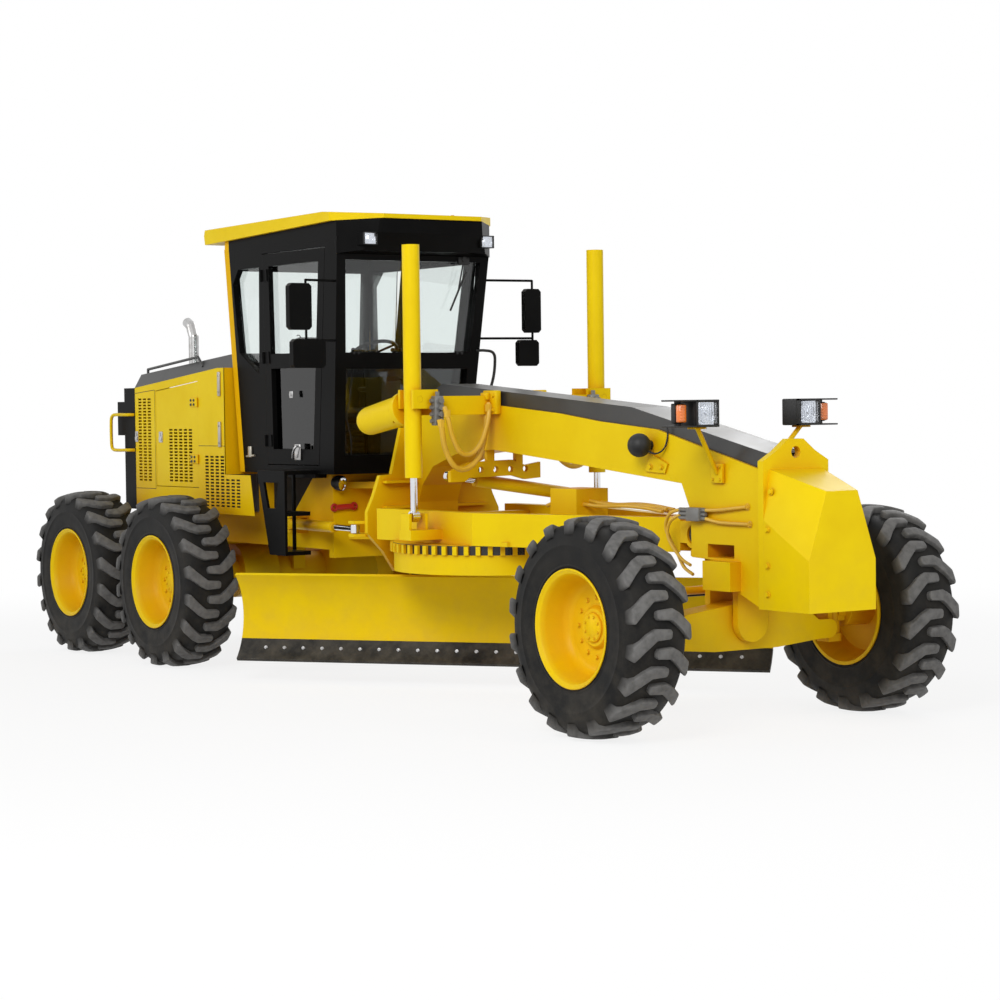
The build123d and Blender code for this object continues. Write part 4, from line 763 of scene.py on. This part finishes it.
box_in(shell, (HOOD_FRONT - SHEET, -HOOD_SIDE, SKIRT_TOP), (HOOD_FRONT, HOOD_SIDE, HOOD_TOP))
made = new_object("perforated_hood", shell, yellow, "chassis")
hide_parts("hood")
print("the hood has", len(made.data.polygons), "faces")

# %% [markdown]
# An engine door is a punched sheet on a folded frame, so it looks thick at its edges and hollow
# inside. Its hinges stand at its front edge, and a bright pull latch sits near its rear edge.

# %% Engine doors
DOOR_GAP = 0.005
HINGE_GAP = 0.0003
DOOR_THICK = 0.02
DOOR_RIM = 0.03
DOOR_FIELD = (-2.962, 1.412, 5, 17)
HINGE_LINE = HOOD_SIDE + 0.0093
HINGE_FACE = HOOD_SIDE + 0.006
HINGES = ((2.01, 2.08), (1.56, 1.63))
LATCH = (-3.108, 1.769)


def pull_latch(shape, x, z, wide=0.062, tall=0.088):
    """Add a latch: a dished plate with a lock barrel and a lever across it."""
    face = HOOD_SIDE + 0.006
    box_in(shape, (x - wide / 2, HOOD_SIDE, z - tall / 2), (x + wide / 2, face, z + tall / 2), 0.002)
    rod_in(shape, (x, face, z + tall * 0.22), (x, face + 0.006, z + tall * 0.22), 0.012, 16)
    low = (x - wide * 0.36, face, z - tall * 0.34)
    box_in(shape, low, (x + wide * 0.36, face + 0.0072, z - tall * 0.02), 0.003)


rear = DOOR_REAR + DOOR_GAP
front = DOOR_FRONT - HINGE_GAP
low = DOOR_BOTTOM + DOOR_GAP
top_rear, top_front = [top - DOOR_GAP for top in DOOR_TOPS]
leaf = perforated([(rear, low), (front, low), (front, top_front), (rear, top_rear)], [DOOR_FIELD])
thicken(leaf)
for outline in (
        [(rear, low), (front, low), (front, low + DOOR_RIM), (rear, low + DOOR_RIM)],
        [(rear, low), (rear + DOOR_RIM, low), (rear + DOOR_RIM, top_rear), (rear, top_rear)],
        [(front - DOOR_RIM, low), (front, low), (front, top_front), (front - DOOR_RIM, top_front)],
        [(rear, top_rear - DOOR_RIM), (front, top_front - DOOR_RIM), (front, top_front), (rear, top_rear)]):
    plate_in(leaf, outline, HOOD_SIDE - SHEET, HOOD_SIDE - DOOR_THICK)
hinge_bolts = bmesh.new()
for bottom, top in HINGES:
    box_in(leaf, (DOOR_FRONT - 0.13, HOOD_SIDE, bottom), (front, HINGE_FACE, top), 0.002)
    rod_in(leaf, (DOOR_FRONT, HINGE_LINE, bottom), (DOOR_FRONT, HINGE_LINE, top), 0.009, 24)
    places = [(DOOR_FRONT + x, z) for z in (bottom + 0.018, top - 0.018) for x in (-0.105, -0.055)]
    side_bolts(hinge_bolts, HINGE_FACE, 0.016, places)
for side, made in pair("perforated_engine_door", leaf, yellow, "engine_door_{}").items():
    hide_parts(f"engine_door_{side}")
pair("door_hinge_bolts", hinge_bolts, dark_iron, "engine_door_{}", 25)
latch = bmesh.new()
pull_latch(latch, *LATCH)
pair("door_latch", latch, bright_steel, "engine_door_{}", 25)
print("an engine door has", len(made.data.polygons), "faces")

# %% [markdown]
# Hoses, handles and rings are all round bars that follow a line. The line is given by a few
# places, and a curve object with a bevel depth turns it into a mesh that joins the piece's bmesh.

# %% Pipes and rings


def path_through(points, steps=8):
    """Return places along a smooth line through the given ones."""
    last = len(points) - 1
    ways = [(points[min(i + 1, last)] - points[max(i - 1, 0)]).normalized() for i in range(last + 1)]
    line = []
    for i in range(last):
        reach = (points[i + 1] - points[i]).length / 3
        handles = (points[i] + ways[i] * reach, points[i + 1] - ways[i + 1] * reach)
        line += interpolate_bezier(points[i], *handles, points[i + 1], steps)[:-1]
    return line + [points[last]]


def pipe_in(shape, points, radius, bend=True, closed=False):
    """Add a round pipe along a smooth line, or along straight stretches."""
    line = [Vector(p) for p in points]
    if bend:
        line = path_through(line)
    curve = bpy.data.curves.new("pipe", "CURVE")
    curve.dimensions = "3D"
    curve.bevel_depth = radius
    curve.bevel_resolution = 3
    curve.use_fill_caps = not closed
    spline = curve.splines.new("POLY")
    spline.points.add(len(line) - 1)
    for point, at in zip(spline.points, line):
        point.co = (*at, 1)
    spline.use_cyclic_u = closed
    thing = bpy.data.objects.new("pipe", curve)
    mesh = bpy.data.meshes.new_from_object(thing)
    shape.from_mesh(mesh)
    bpy.data.objects.remove(thing)
    bpy.data.meshes.remove(mesh)
    bpy.data.curves.remove(curve)


def ring_in(shape, centre, axis, radius, thick, steps=40):
    """Add a round ring about an axis."""
    turn = Vector(axis).to_track_quat("Z", "Y")
    circle = [Vector(centre) + turn @ Vector((x, y, 0)) for y, x in around(steps, radius)]
    pipe_in(shape, circle, thick, bend=False, closed=True)


# %% [markdown]
# The panels of the hood show as thin dark seams, with latches, two bright hinge bars at the front
# and a bent grab handle at the rear corner. The seams are shallow dark strips on the skin.

# %% Hood trim
SEAM_FACE = HOOD_SIDE + 0.0012
BAR_FACE = HOOD_SIDE + 0.012
GRIP = HOOD_SIDE + 0.048

seams = bmesh.new()
for x0, z0, x1, z1 in (
        (-3.572, 1.345, -3.215, 1.349), (-3.216, 1.345, -3.213, 2.152), (-2.447, 1.7, -2.01, 1.7035)):
    box_in(seams, (x0, HOOD_SIDE, z0), (x1, SEAM_FACE, z1))
plate_in(seams, [(-3.572, 2.126), (-3.215, 2.15), (-3.215, 2.154), (-3.572, 2.13)], HOOD_SIDE, SEAM_FACE)
pair("hood_seams", seams, black_plastic, "chassis")

latch = bmesh.new()
pull_latch(latch, -3.551, 1.771, 0.052)
pair("panel_latch", latch, bright_steel, "chassis", 25)

bars = bmesh.new()
for z0, z1 in ((2.092, 2.279), (1.695, 1.89)):
    box_in(bars, (-2.1, HOOD_SIDE, z0), (-2.06, BAR_FACE, z1), 0.003)
    side_bolts(bars, BAR_FACE, 0.014, ((-2.08, z0 + 0.03), (-2.08, z1 - 0.03)))
pair("hinge_bars", bars, plated, "chassis", 25)

handle = bmesh.new()
pipe_in(handle, [
    (-3.6, HOOD_SIDE, 1.952), (-3.615, GRIP - 0.01, 1.952), (-3.66, GRIP, 1.952), (-3.88, GRIP, 1.952),
    (-3.925, GRIP, 1.935), (-3.94, GRIP, 1.9), (-3.94, GRIP, 1.715), (-3.925, GRIP, 1.675),
    (-3.88, GRIP, 1.659), (-3.66, GRIP, 1.659), (-3.615, GRIP - 0.01, 1.659), (-3.6, HOOD_SIDE, 1.659)],
    0.014)
pair("grab_handle", handle, yellow, "chassis")

# %% [markdown]
# The lift cylinders hang in yokes whose arms are stout round castings. A cone with a rounded end
# covers each packed arm, and a bolted flange stands at its root.

# %% Yoke arms
ARM_OUT = 0.7525

arm = bmesh.new()
rod_in(arm, (0.765, ARM_OUT, 1.975), (0.285, ARM_OUT, 1.895), 0.108, 48, 0.1)
ball_in(arm, (0.285, ARM_OUT, 1.895), 0.0995)
rod_in(arm, (0.775, ARM_OUT, 1.977), (0.725, ARM_OUT, 1.968), 0.12, 48)
for a, b in around(8, 0.112):
    bolt_in(arm, (0.725, ARM_OUT + a, 1.968 + b), (-1, 0, 0), 0.014)
pair("yoke_arm", arm, yellow, "front_body")

# %% [markdown]
# A valve block sits by each lift cylinder. Two yellow hoses hang from it in a loop and rise to a
# clamp on the beam. Everything here rides on the front body, so the loops keep still while the
# cylinder swings past them.

# %% Valve blocks and hose loops
BLOCK_OUT = 0.655
BEAM_SIDE = 0.1705

block = bmesh.new()
box_in(block, (0.976, BLOCK_OUT - 0.035, 1.86), (1.03, BLOCK_OUT + 0.035, 2.06), 0.006)
for k in range(4):
    z = 1.89 + k * 0.046
    rod_in(block, (1.025, BLOCK_OUT, z), (1.05, BLOCK_OUT, z), 0.017, 16)
    rod_in(block, (1.045, BLOCK_OUT, z), (1.06, BLOCK_OUT, z), 0.021, 6)
    rod_in(block, (1.003, 0.69, z), (1.003, 0.712, z), 0.014, 6)
rod_in(block, (1.003, BLOCK_OUT, 2.05), (1.003, BLOCK_OUT, 2.09), 0.016, 6)
pair("valve_block", block, valve_grey, "front_body", 25)

clamp = bmesh.new()
box_in(clamp, (0.9, BEAM_SIDE, 1.93), (1.06, 0.215, 2.095), 0.006)
box_in(clamp, (0.92, 0.21, 2.03), (0.99, 0.25, 2.08), 0.006)
side_bolts(clamp, 0.215, 0.022, ((0.93, 1.96), (1.03, 1.96), (1.03, 2.06)))
pair("hose_clamp", clamp, yellow, "front_body", 25)

hoses = bmesh.new()
pipe_in(hoses, [
    (1.055, 0.675, 1.9), (1.068, 0.665, 1.84), (1.04, 0.62, 1.7), (1.03, 0.54, 1.58), (1.02, 0.44, 1.56),
    (1.01, 0.33, 1.64), (0.985, 0.255, 1.8), (0.955, 0.222, 1.93), (0.945, 0.222, 1.99)], 0.019)
pipe_in(hoses, [
    (1.055, 0.635, 1.985), (1.08, 0.62, 1.9), (1.07, 0.575, 1.77), (1.06, 0.51, 1.675), (1.05, 0.43, 1.66),
    (1.04, 0.34, 1.72), (1.02, 0.27, 1.84), (1.0, 0.232, 1.95), (0.99, 0.23, 2.01)], 0.017)
for x, y, z, radius in (
        (0.945, 0.222, 1.925, 0.026), (0.99, 0.23, 1.95, 0.026), (1.064, 0.668, 1.85, 0.025),
        (1.076, 0.624, 1.915, 0.025)):
    rod_in(hoses, (x, y, z), (x, y, z + 0.05), radius, 6)
pair("hose_loops", hoses, hose_yellow, "front_body")

# %% [markdown]
# A horn and a cable sit on the beam's side. Further forward a hose block feeds pipes along the
# head and hoses that drop to the drawbar's ball and the front axle.

# %% Beam trim
horn = bmesh.new()
ball_in(horn, (2.745, 0.262, 1.728), 0.076)
rod_in(horn, (2.745, 0.2, 1.728), (2.745, 0.17, 1.728), 0.03)
pipe_in(horn, [
    (2.8, 0.235, 1.69), (2.86, 0.215, 1.675), (2.91, 0.19, 1.71), (2.925, 0.175, 1.78), (2.92, 0.1725, 1.84)],
    0.0055)
pair("beam_horn", horn, black_plastic, "front_body")

foot = bmesh.new()
plate_in(foot, [(2.7, 1.56), (2.9, 1.55), (2.93, 1.61), (2.74, 1.68)], 0.17, 0.182)
side_bolts(foot, 0.182, 0.026, ((2.76, 1.59), (2.87, 1.59)))
pair("horn_foot", foot, yellow, "front_body", 25)

block = bmesh.new()
box_in(block, (3.16, BEAM_SIDE, 1.262), (3.29, 0.225, 1.345), 0.006)
for k in range(3):
    z = 1.28 + k * 0.025
    rod_in(block, (3.07, 0.198, z), (3.17, 0.198, z), 0.0125, 6)
    rod_in(block, (3.28, 0.198, z), (3.33, 0.198, z), 0.0125, 6)
pair("hose_block", block, valve_grey, "front_body", 25)

pipes = bmesh.new()
for line, radius in (
        ([(3.32, 0.198, 1.33), (3.45, 0.19, 1.335), (3.7, 0.183, 1.36)], 0.011),
        ([(3.32, 0.198, 1.28), (3.45, 0.19, 1.26), (3.72, 0.183, 1.255)], 0.011),
        ([(3.08, 0.198, 1.33), (2.98, 0.205, 1.3), (2.93, 0.2, 1.22), (2.96, 0.19, 1.14),
          (3.03, 0.185, 1.05), (3.1, 0.19, 0.97), (3.2, 0.2, 0.93)], 0.011),
        ([(3.08, 0.198, 1.3), (3.0, 0.22, 1.25), (2.98, 0.225, 1.17), (3.03, 0.22, 1.09),
          (3.12, 0.22, 1.02), (3.22, 0.235, 0.99)], 0.01)):
    pipe_in(pipes, line, radius)
side_bolts(pipes, 0.171, 0.03, ((3.7, 1.36), (3.72, 1.255)))
pair("beam_pipes", pipes, hose_yellow, "front_body")

# %% [markdown]
# A bundle of hoses lies along the drawbar, from the circle's swivel to the ball at its nose. It
# rides on the drawbar, so it shifts and lifts with it.

# %% Drawbar hoses
bundle = bmesh.new()
offsets = ((-0.045, 0.0, 0.013), (-0.012, 0.012, 0.012), (0.022, -0.004, 0.013), (0.05, 0.01, 0.011))
for k, (y, z, radius) in enumerate(offsets):
    sway = 0.012 * math.sin(k * 2.1)
    pipe_in(bundle, [
        (1.52, y * 2.6, 1.31 + z), (1.66, y * 2.0, 1.352 + z), (1.82, y * 1.6, 1.332 + z + sway),
        (2.05, y * 1.2, 1.318 + z), (2.3, y * 1.3, 1.326 + z - sway), (2.52, y, 1.318 + z),
        (2.7, y, 1.3 + z)], radius)
new_object("drawbar_hoses", bundle, hose_yellow, "drawbar")

# %% [markdown]
# Bolts hold the nose weight and the blade's cutting edge. They follow their parts' own lines: the
# blade stands at an angle, so its bolts are placed along it and then turned with it.

# %% Bolts on the head and the blade
head = bmesh.new()
for sign in (-1, 1):
    for z in (0.85, 1.02, 1.236, 1.46):
        bolt_in(head, (3.985, sign * (0.257 - max(0.0, z - 1.29) * 0.17), z), (0, sign, 0), 0.03)
new_object("head_bolts", head, yellow, "front_body", 25)

CIRCLE_CENTRE = 0.827
BLADE_TURN = math.radians(53)
ALONG = Vector((math.sin(BLADE_TURN), math.cos(BLADE_TURN), 0))
FORWARD = Vector((math.cos(BLADE_TURN), -math.sin(BLADE_TURN), 0))
BLADE_SHIFT = -0.094
FACE_RADIUS = 0.413
FACE_CENTRE = (0.2785, 0.477)
EDGE_BOLT_HEIGHT = 0.25
EDGE_BOLT_STEP = 0.148


def on_blade(along, height, off=0.0):
    """Return a place on the blade's curved front face."""
    depth = FACE_CENTRE[0] - math.sqrt(FACE_RADIUS ** 2 - (height - FACE_CENTRE[1]) ** 2) + off
    flat = ALONG * (along + BLADE_SHIFT) + FORWARD * depth
    return Vector((CIRCLE_CENTRE + flat.x, flat.y, height))


edge_bolts = bmesh.new()
out = (on_blade(0, EDGE_BOLT_HEIGHT, 0.01) - on_blade(0, EDGE_BOLT_HEIGHT)).normalized()
for k in range(-12, 13):
    bolt_in(edge_bolts, on_blade(k * EDGE_BOLT_STEP, EDGE_BOLT_HEIGHT), out, 0.02)
new_object("cutting_edge_bolts", edge_bolts, bright_steel, "moldboard", 25)

# %% [markdown]
# A thin dark band lies at the root of the circle's teeth, so the gaps between them look nearly black.

# %% Dark band in the gear
gear_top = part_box("circle")[1][2]
band = turned([(-0.0635, 0.777), (-0.0635, 0.78), (-0.0015, 0.78), (-0.0015, 0.777)])
lie_flat = Matrix.Rotation(math.radians(90), 4, "X")
move(band, Matrix.Translation((CIRCLE_CENTRE, 0, gear_top)) @ lie_flat)
new_object("gear_root_band", band, root_band_black, "circle")
print("the gear's top is at", round(gear_top, 3))

# %% [markdown]
# The headlamps are black boxes with a clear lamp on the inner side. Their outer half is open at
# front and back and holds an amber lamp between two plates. They stand on slanted yellow stalks.

# %% Headlamps
LAMP_BACK, LAMP_FACE = 3.449, 3.618
LAMP_LOW, LAMP_HIGH = 1.845, 2.01
LAMP_MIDDLE = (0.403, 1.928)

box = bmesh.new()
box_in(box, (LAMP_BACK, 0.316, LAMP_LOW), (3.59, 0.49, LAMP_HIGH), 0.008)
for low, high, inner, outer in (
        (LAMP_LOW, LAMP_LOW + 0.014, 0.316, 0.49), (LAMP_HIGH - 0.014, LAMP_HIGH, 0.316, 0.49),
        (LAMP_LOW, LAMP_HIGH, 0.316, 0.328), (LAMP_LOW, LAMP_HIGH, 0.478, 0.49)):
    box_in(box, (3.585, inner, low), (LAMP_FACE, outer, high), 0.003)
for low in (LAMP_LOW, LAMP_HIGH - 0.01):
    box_in(box, (LAMP_BACK, 0.486, low), (LAMP_FACE, 0.629, low + 0.01), 0.003)
box_in(box, (3.5, 0.525, 1.868), (3.54, 0.596, 1.988), 0.006)
for low, high in ((1.85, 1.87), (1.986, 2.004)):
    box_in(box, (3.505, 0.545, low), (3.535, 0.575, high), 0.002)
for side, made in pair("lamp_box", box, black_plastic, "front_body").items():
    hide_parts(f"headlamp_{side}")

bright = bmesh.new()
box_in(bright, (3.5895, 0.332, 1.862), (3.596, 0.474, 1.993), 0.002)
for x0, x1, radius, sides, end_radius in ((3.594, 3.604, 0.052, 32, 0.028), (3.604, 3.609, 0.016, 20, None)):
    rod_in(bright, (x0, *LAMP_MIDDLE), (x1, *LAMP_MIDDLE), radius, sides, end_radius)
pair("lamp_reflector", bright, chrome, "front_body", 25)

pane = bmesh.new()
box_in(pane, (3.6105, 0.33, 1.86), (3.6155, 0.476, 1.995), 0.002)
for k in range(9):
    y = 0.343 + k * 0.015
    rod_in(pane, (3.6155, y, 1.868), (3.6155, y, 1.987), 0.0022, 8)
pair("lamp_pane", pane, lens, "front_body")

turn_lamp = bmesh.new()
box_in(turn_lamp, (3.54, 0.529, 1.873), (3.572, 0.592, 1.983), 0.01)
for k in range(6):
    z = 1.884 + k * 0.0175
    box_in(turn_lamp, (3.57, 0.537, z), (3.575, 0.584, z + 0.009), 0.002)
pair("turn_lamp", turn_lamp, amber_lamp, "front_body")

stalk = bmesh.new()
pipe_in(stalk, [(3.437, 0.194, 1.56), (3.519, 0.412, 1.846)], 0.015, bend=False)
box_in(stalk, (3.377, BEAM_SIDE, 1.5), (3.487, 0.196, 1.62), 0.004)
side_bolts(stalk, 0.196, 0.016, ((3.397, 1.52), (3.467, 1.52), (3.397, 1.6), (3.467, 1.6)))
box_in(stalk, (3.48, 0.37, 1.833), (3.56, 0.455, 1.8445), 0.002)
pair("lamp_stalk", stalk, yellow, "front_body")

# %% [markdown]
# Work lamps sit in the cab's brow, mirror glasses face the driver, and tail lamps close the rear.

# %% Cab lamps, mirror glasses and tail lamps
BROW_LAMP = (0.504, 3.2)

bright = bmesh.new()
box_in(bright, (-0.1035, 0.456, 3.162), (-0.0985, 0.552, 3.238), 0.002)
rod_in(bright, (-0.0985, *BROW_LAMP), (-0.0945, *BROW_LAMP), 0.03, 28, 0.018)
pair("work_lamp_reflector", bright, chrome, "chassis", 25)

pane = bmesh.new()
box_in(pane, (-0.093, 0.454, 3.16), (-0.088, 0.554, 3.24), 0.002)
pair("work_lamp_pane", pane, lens, "chassis")

rim = bmesh.new()
for y0, y1, z0, z1 in (
        (0.448, 0.56, 3.154, 3.161), (0.448, 0.56, 3.239, 3.246), (0.448, 0.454, 3.154, 3.246),
        (0.554, 0.56, 3.154, 3.246)):
    box_in(rim, (-0.106, y0, z0), (-0.085, y1, z1), 0.002)
pair("work_lamp_rim", rim, black_plastic, "chassis")

tail = bmesh.new()
for z0, z1 in ((1.8, 1.86), (1.88, 1.94), (1.96, 2.04)):
    box_in(tail, (-3.945, 0.52, z0), (-3.9335, 0.67, z1), 0.004)
pair("tail_lamp", tail, red_lamp, "chassis")

glasses = bmesh.new()
for y0, y1, z0, z1 in (
        (-1.067, -0.905, 2.56, 2.87), (-1.042, -0.794, 2.288, 2.472), (0.973, 1.095, 2.55, 2.858),
        (0.912, 1.073, 2.298, 2.473)):
    box_in(glasses, (-0.3285, y0, z0), (-0.3255, y1, z1), 0.0015)
new_object("mirror_glasses", glasses, chrome, "chassis", 25)

# %% [markdown]
# On the front of the cab are a wiper, bolts in the belt bar and three bent air ducts behind the
# lower pane. A grab rail stands at its left corner. Each door has a lever, a lock and a stay.

# %% Cab trim


def on_screen(y, z, off=0.0):
    """Return a place on the leaning windscreen, or off it."""
    return (-0.523 + (z - 1.5) * 0.1339 + off, y, z)


def cab_y(z):
    """Return how far out the leaning cab side is at a height."""
    return 0.586 + (z - 1.5) * 0.0452


front = bmesh.new()
rod_in(front, on_screen(0.43, 3.08, -0.018), on_screen(0.43, 3.08, 0.024), 0.022)
pipe_in(front, [on_screen(0.43, 3.08, 0.012), on_screen(0.392, 2.86, 0.022)], 0.006, bend=False)
pipe_in(front, [on_screen(0.455, 2.99, 0.014), on_screen(0.335, 2.7, 0.014)], 0.0075, bend=False)
motor = on_screen(0, 3.05)[0]
box_in(front, (motor - 0.01, 0.38, 3.04), (motor + 0.02, 0.48, 3.1), 0.008)
for y in (-0.47, -0.43, 0.43, 0.47):
    bolt_in(front, on_screen(y, 2.386), (1, 0, 0), 0.014)
rail_x = on_screen(0, 2.4)[0]
pipe_in(front, [
    (rail_x, 0.6, 2.405), (rail_x + 0.05, 0.64, 2.405), (rail_x + 0.07, 0.7, 2.39),
    (rail_x + 0.07, 0.72, 2.34),
    (on_screen(0, 2.2, 0.07)[0], 0.715, 2.18), (on_screen(0, 2.1, 0.05)[0], 0.68, 2.08),
    (on_screen(0, 2.06)[0], 0.6, 2.05)], 0.011)
new_object("wiper_and_rail", front, black_plastic, "chassis")

ducts = bmesh.new()
for k in range(3):
    bends = ((0.02, 2.28), (0.01, 2.05), (-0.01, 1.92), (0.035, 1.78), (0.05, 1.64))
    pipe_in(ducts, [on_screen(-0.555 + k * 0.045 + off, z, -0.06) for off, z in bends], 0.012)
new_object("cab_ducts", ducts, black_plastic, "chassis")

lever = bmesh.new()
y = cab_y(1.66)
box_in(lever, (-1.075, y, 1.6), (-0.985, y + 0.01, 1.72), 0.004)
pipe_in(lever, [
    (-1.01, y + 0.008, 1.705), (-1.012, y + 0.034, 1.7), (-1.04, y + 0.038, 1.66), (-1.062, y + 0.03, 1.615)],
    0.009)
y = cab_y(2.09)
box_in(lever, (-1.112, y, 2.066), (-1.062, y + 0.006, 2.116), 0.004)
rod_in(lever, (-1.087, y, 2.091), (-1.087, y + 0.014, 2.091), 0.013)
pair("door_lever", lever, bright_steel, "cab_door_{}", 25)

stay = bmesh.new()
y = cab_y(1.635)
pipe_in(stay, [(-1.83, y + 0.006, 1.622), (-1.7, y + 0.006, 1.63)], 0.009, bend=False)
box_in(stay, (-1.8, y, 1.615), (-1.745, y + 0.016, 1.7), 0.006)
pair("door_stay", stay, plated, "chassis", 25)

# %% [markdown]
# A round lamp lights the blade, and a red bar with a black joint locks the hitch for transport.

# %% Blade lamp and hitch lock
aim = Vector((0.93, -0.36, -0.12)).to_track_quat("Y", "Z").to_matrix().to_4x4()
where = Matrix.Translation((-0.72, 0.395, 1.425)) @ aim
shell = turned(
    [(0.0, 0.0), (0.0, 0.052), (-0.012, 0.058), (-0.05, 0.055), (-0.085, 0.038), (-0.095, 0.0)], 36)
move(shell, where)
rod_in(shell, (-0.805, 0.36, 1.455), (-0.75, 0.385, 1.445), 0.012, 12)
pair("blade_lamp", shell, black_plastic, "chassis")
pane = turned([(0.001, 0.0), (0.006, 0.0), (0.003, 0.04), (0.0, 0.05), (-0.002, 0.05)], 36)
pair("blade_lamp_pane", move(pane, where), chrome, "chassis")

lock = bmesh.new()
pipe_in(lock, [(-0.79, 0.27, 1.252), (-0.79, 0.42, 1.246)], 0.022, bend=False)
for y, z in ((0.43, 1.246), (0.26, 1.252)):
    ring_in(lock, (-0.79, y, z), (1, 0, 0), 0.022, 0.01, 20)
pair("hitch_lock", lock, red_paint, "chassis")

# %% [markdown]
# Inside the cab are a ribbed mat, a sprung seat with arm rests, a steering column with two banks
# of levers, pedals and a panel behind the seat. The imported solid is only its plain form. The
# interior stays inside the cab's own walls.

# %% Cab interior
inside = bmesh.new()
box_in(inside, (-1.723, -0.35, 1.54), (-0.723, 0.35, 1.552), 0.002)
for k in range(16):
    x = -1.7 + k * 0.061
    box_in(inside, (x, -0.34, 1.551), (x + 0.018, 0.34, 1.556), 0.002)
box_in(inside, (-1.573, -0.18, 1.552), (-1.323, 0.18, 1.59), 0.008)
for k in range(6):
    z = 1.59 + k * 0.038
    box_in(inside, (-1.56, -0.165, z), (-1.336, 0.165, z + 0.03), 0.012)
    box_in(inside, (-1.545, -0.15, z + 0.028), (-1.351, 0.15, z + 0.04))
box_in(inside, (-1.63, -0.225, 1.82), (-1.14, 0.225, 1.868), 0.012)
box_in(inside, (-1.93, -0.5, 1.56), (-1.88, 0.5, 2.32), 0.02)

one_side = bmesh.new()
box_in(one_side, (-1.62, 0.272, 2.11), (-1.29, 0.33, 2.15), 0.016)
box_in(one_side, (-1.61, 0.285, 1.84), (-1.56, 0.315, 2.115), 0.006)
box_in(one_side, (-0.8, 0.1, 1.6), (-0.74, 0.19, 1.616), 0.005)
rod_in(one_side, (-0.74, 0.145, 1.608), (-0.69, 0.145, 1.7), 0.008, 10)
for k in range(4):
    foot = Vector((-0.78, 0.105 + k * 0.032, 2.25))
    top = foot + Vector((-0.055, 0.02, 0.17))
    rod_in(one_side, foot, top, 0.006, 10)
    ball_in(one_side, top, 0.017)
join_in(inside, flipped(one_side.copy()))
join_in(inside, one_side)

hub = Vector((-0.923, 0, 2.39))
axis = Vector((-0.5, 0, 0.87)).normalized()
rod_in(inside, (-0.73, 0, 1.552), hub - axis * 0.02, 0.034)
plate_in(inside, [(-0.86, 1.552), (-0.7, 1.552), (-0.66, 2.18), (-0.8, 2.32), (-0.9, 2.28)], -0.085, 0.085)
box_in(inside, (-0.8, -0.16, 2.2), (-0.7, 0.16, 2.32), 0.02)
ring_in(inside, hub, axis, 0.19, 0.014, 56)
rod_in(inside, hub - axis * 0.03, hub + axis * 0.015, 0.042, 24)
for k in range(3):
    spoke = Matrix.Rotation(2 * math.pi * k / 3, 3, axis) @ axis.orthogonal().normalized()
    rod_in(inside, hub, hub + spoke * 0.188, 0.009, 12)
made = new_object("cab_furniture", inside, black_plastic, "chassis")
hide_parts("cab_interior")

# %% [markdown]
# The seat's cushions are padded cloth. A cloth skin that is blown up a little from inside takes
# the crowned form of real foam under a cover: full in the middle and drawn in at its corners.
# Each point may only move a little way, so that the cushion keeps its size. Piping is sewn round
# the edges afterwards.

# %% Padded seat
VOXEL = 0.008
PRESSURE = 4.0
SWELL_FRAMES = 20
PUFF_CAP = 0.013
PIPING_IN = 0.03
PIPING_OUT = 0.004

seat_cloth = finish(
    "seat_cloth", (0.022, 0.022, 0.024), (0.035, 0.035, 0.037), 0.85, specular=0.2, grain=900.0,
    grain_depth=0.35, scale=30.0, **CLEAN)


def settled(made):
    """Return a mesh with an object's modifiers applied."""
    return bpy.data.meshes.new_from_object(made.evaluated_get(bpy.context.evaluated_depsgraph_get()))


def puffed(made):
    """Swell a cushion as a cloth skin, with a cap on how far a point moves."""
    remesh = made.modifiers.new("remesh", "REMESH")
    remesh.mode = "VOXEL"
    remesh.voxel_size = VOXEL
    mesh = settled(made)
    made.modifiers.clear()
    made.data = mesh
    rest = [vert.co.copy() for vert in mesh.vertices]
    cloth = made.modifiers.new("cloth", "CLOTH")
    cloth.settings.use_pressure = True
    cloth.settings.uniform_pressure_force = PRESSURE
    cloth.settings.effector_weights.gravity = 0.0
    for moment in range(SWELL_FRAMES):
        scene.frame_set(moment + 1)
    swollen = settled(made)
    made.modifiers.clear()
    for vert, start, end in zip(mesh.vertices, rest, swollen.vertices):
        step = end.co - start
        vert.co = start + step * min(1.0, PUFF_CAP / max(step.length, 1e-6))
    bpy.data.meshes.remove(swollen)
    scene.frame_set(1)
    if not mesh.materials:
        mesh.materials.append(seat_cloth)
    mesh.shade_smooth()


def cushion(name, low, high, about):
    """Make one padded cushion with its piping, leaned back by a matrix."""
    shape = bmesh.new()
    box_in(shape, low, high, 0.028)
    made = new_object(name, move(shape, about), seat_cloth, "chassis", 60)
    puffed(made)
    piping = bmesh.new()
    x, z = (high[0] + PIPING_OUT, high[2] + PIPING_OUT)
    for y in (low[1] + PIPING_IN, high[1] - PIPING_IN):
        pipe_in(piping, [
            (low[0] + PIPING_IN, y, z), (high[0] - PIPING_IN, y, z), (x, y, high[2] - PIPING_IN),
            (x, y, low[2] + PIPING_IN)], 0.004)
    new_object(f"{name}_piping", move(piping, about), black_plastic, "chassis")
    print(name, "has", len(made.data.polygons), "faces")


hinge = Vector((-1.62, 0, 1.96))
lean = Matrix.Translation(hinge) @ Matrix.Rotation(math.radians(-9), 4, "Y") @ Matrix.Translation(-hinge)
cushion("seat_cushion", (-1.62, -0.226, 1.882), (-1.138, 0.226, 1.978), Matrix.Identity(4))
cushion("seat_back", (-1.672, -0.216, 2.01), (-1.586, 0.216, 2.56), lean)
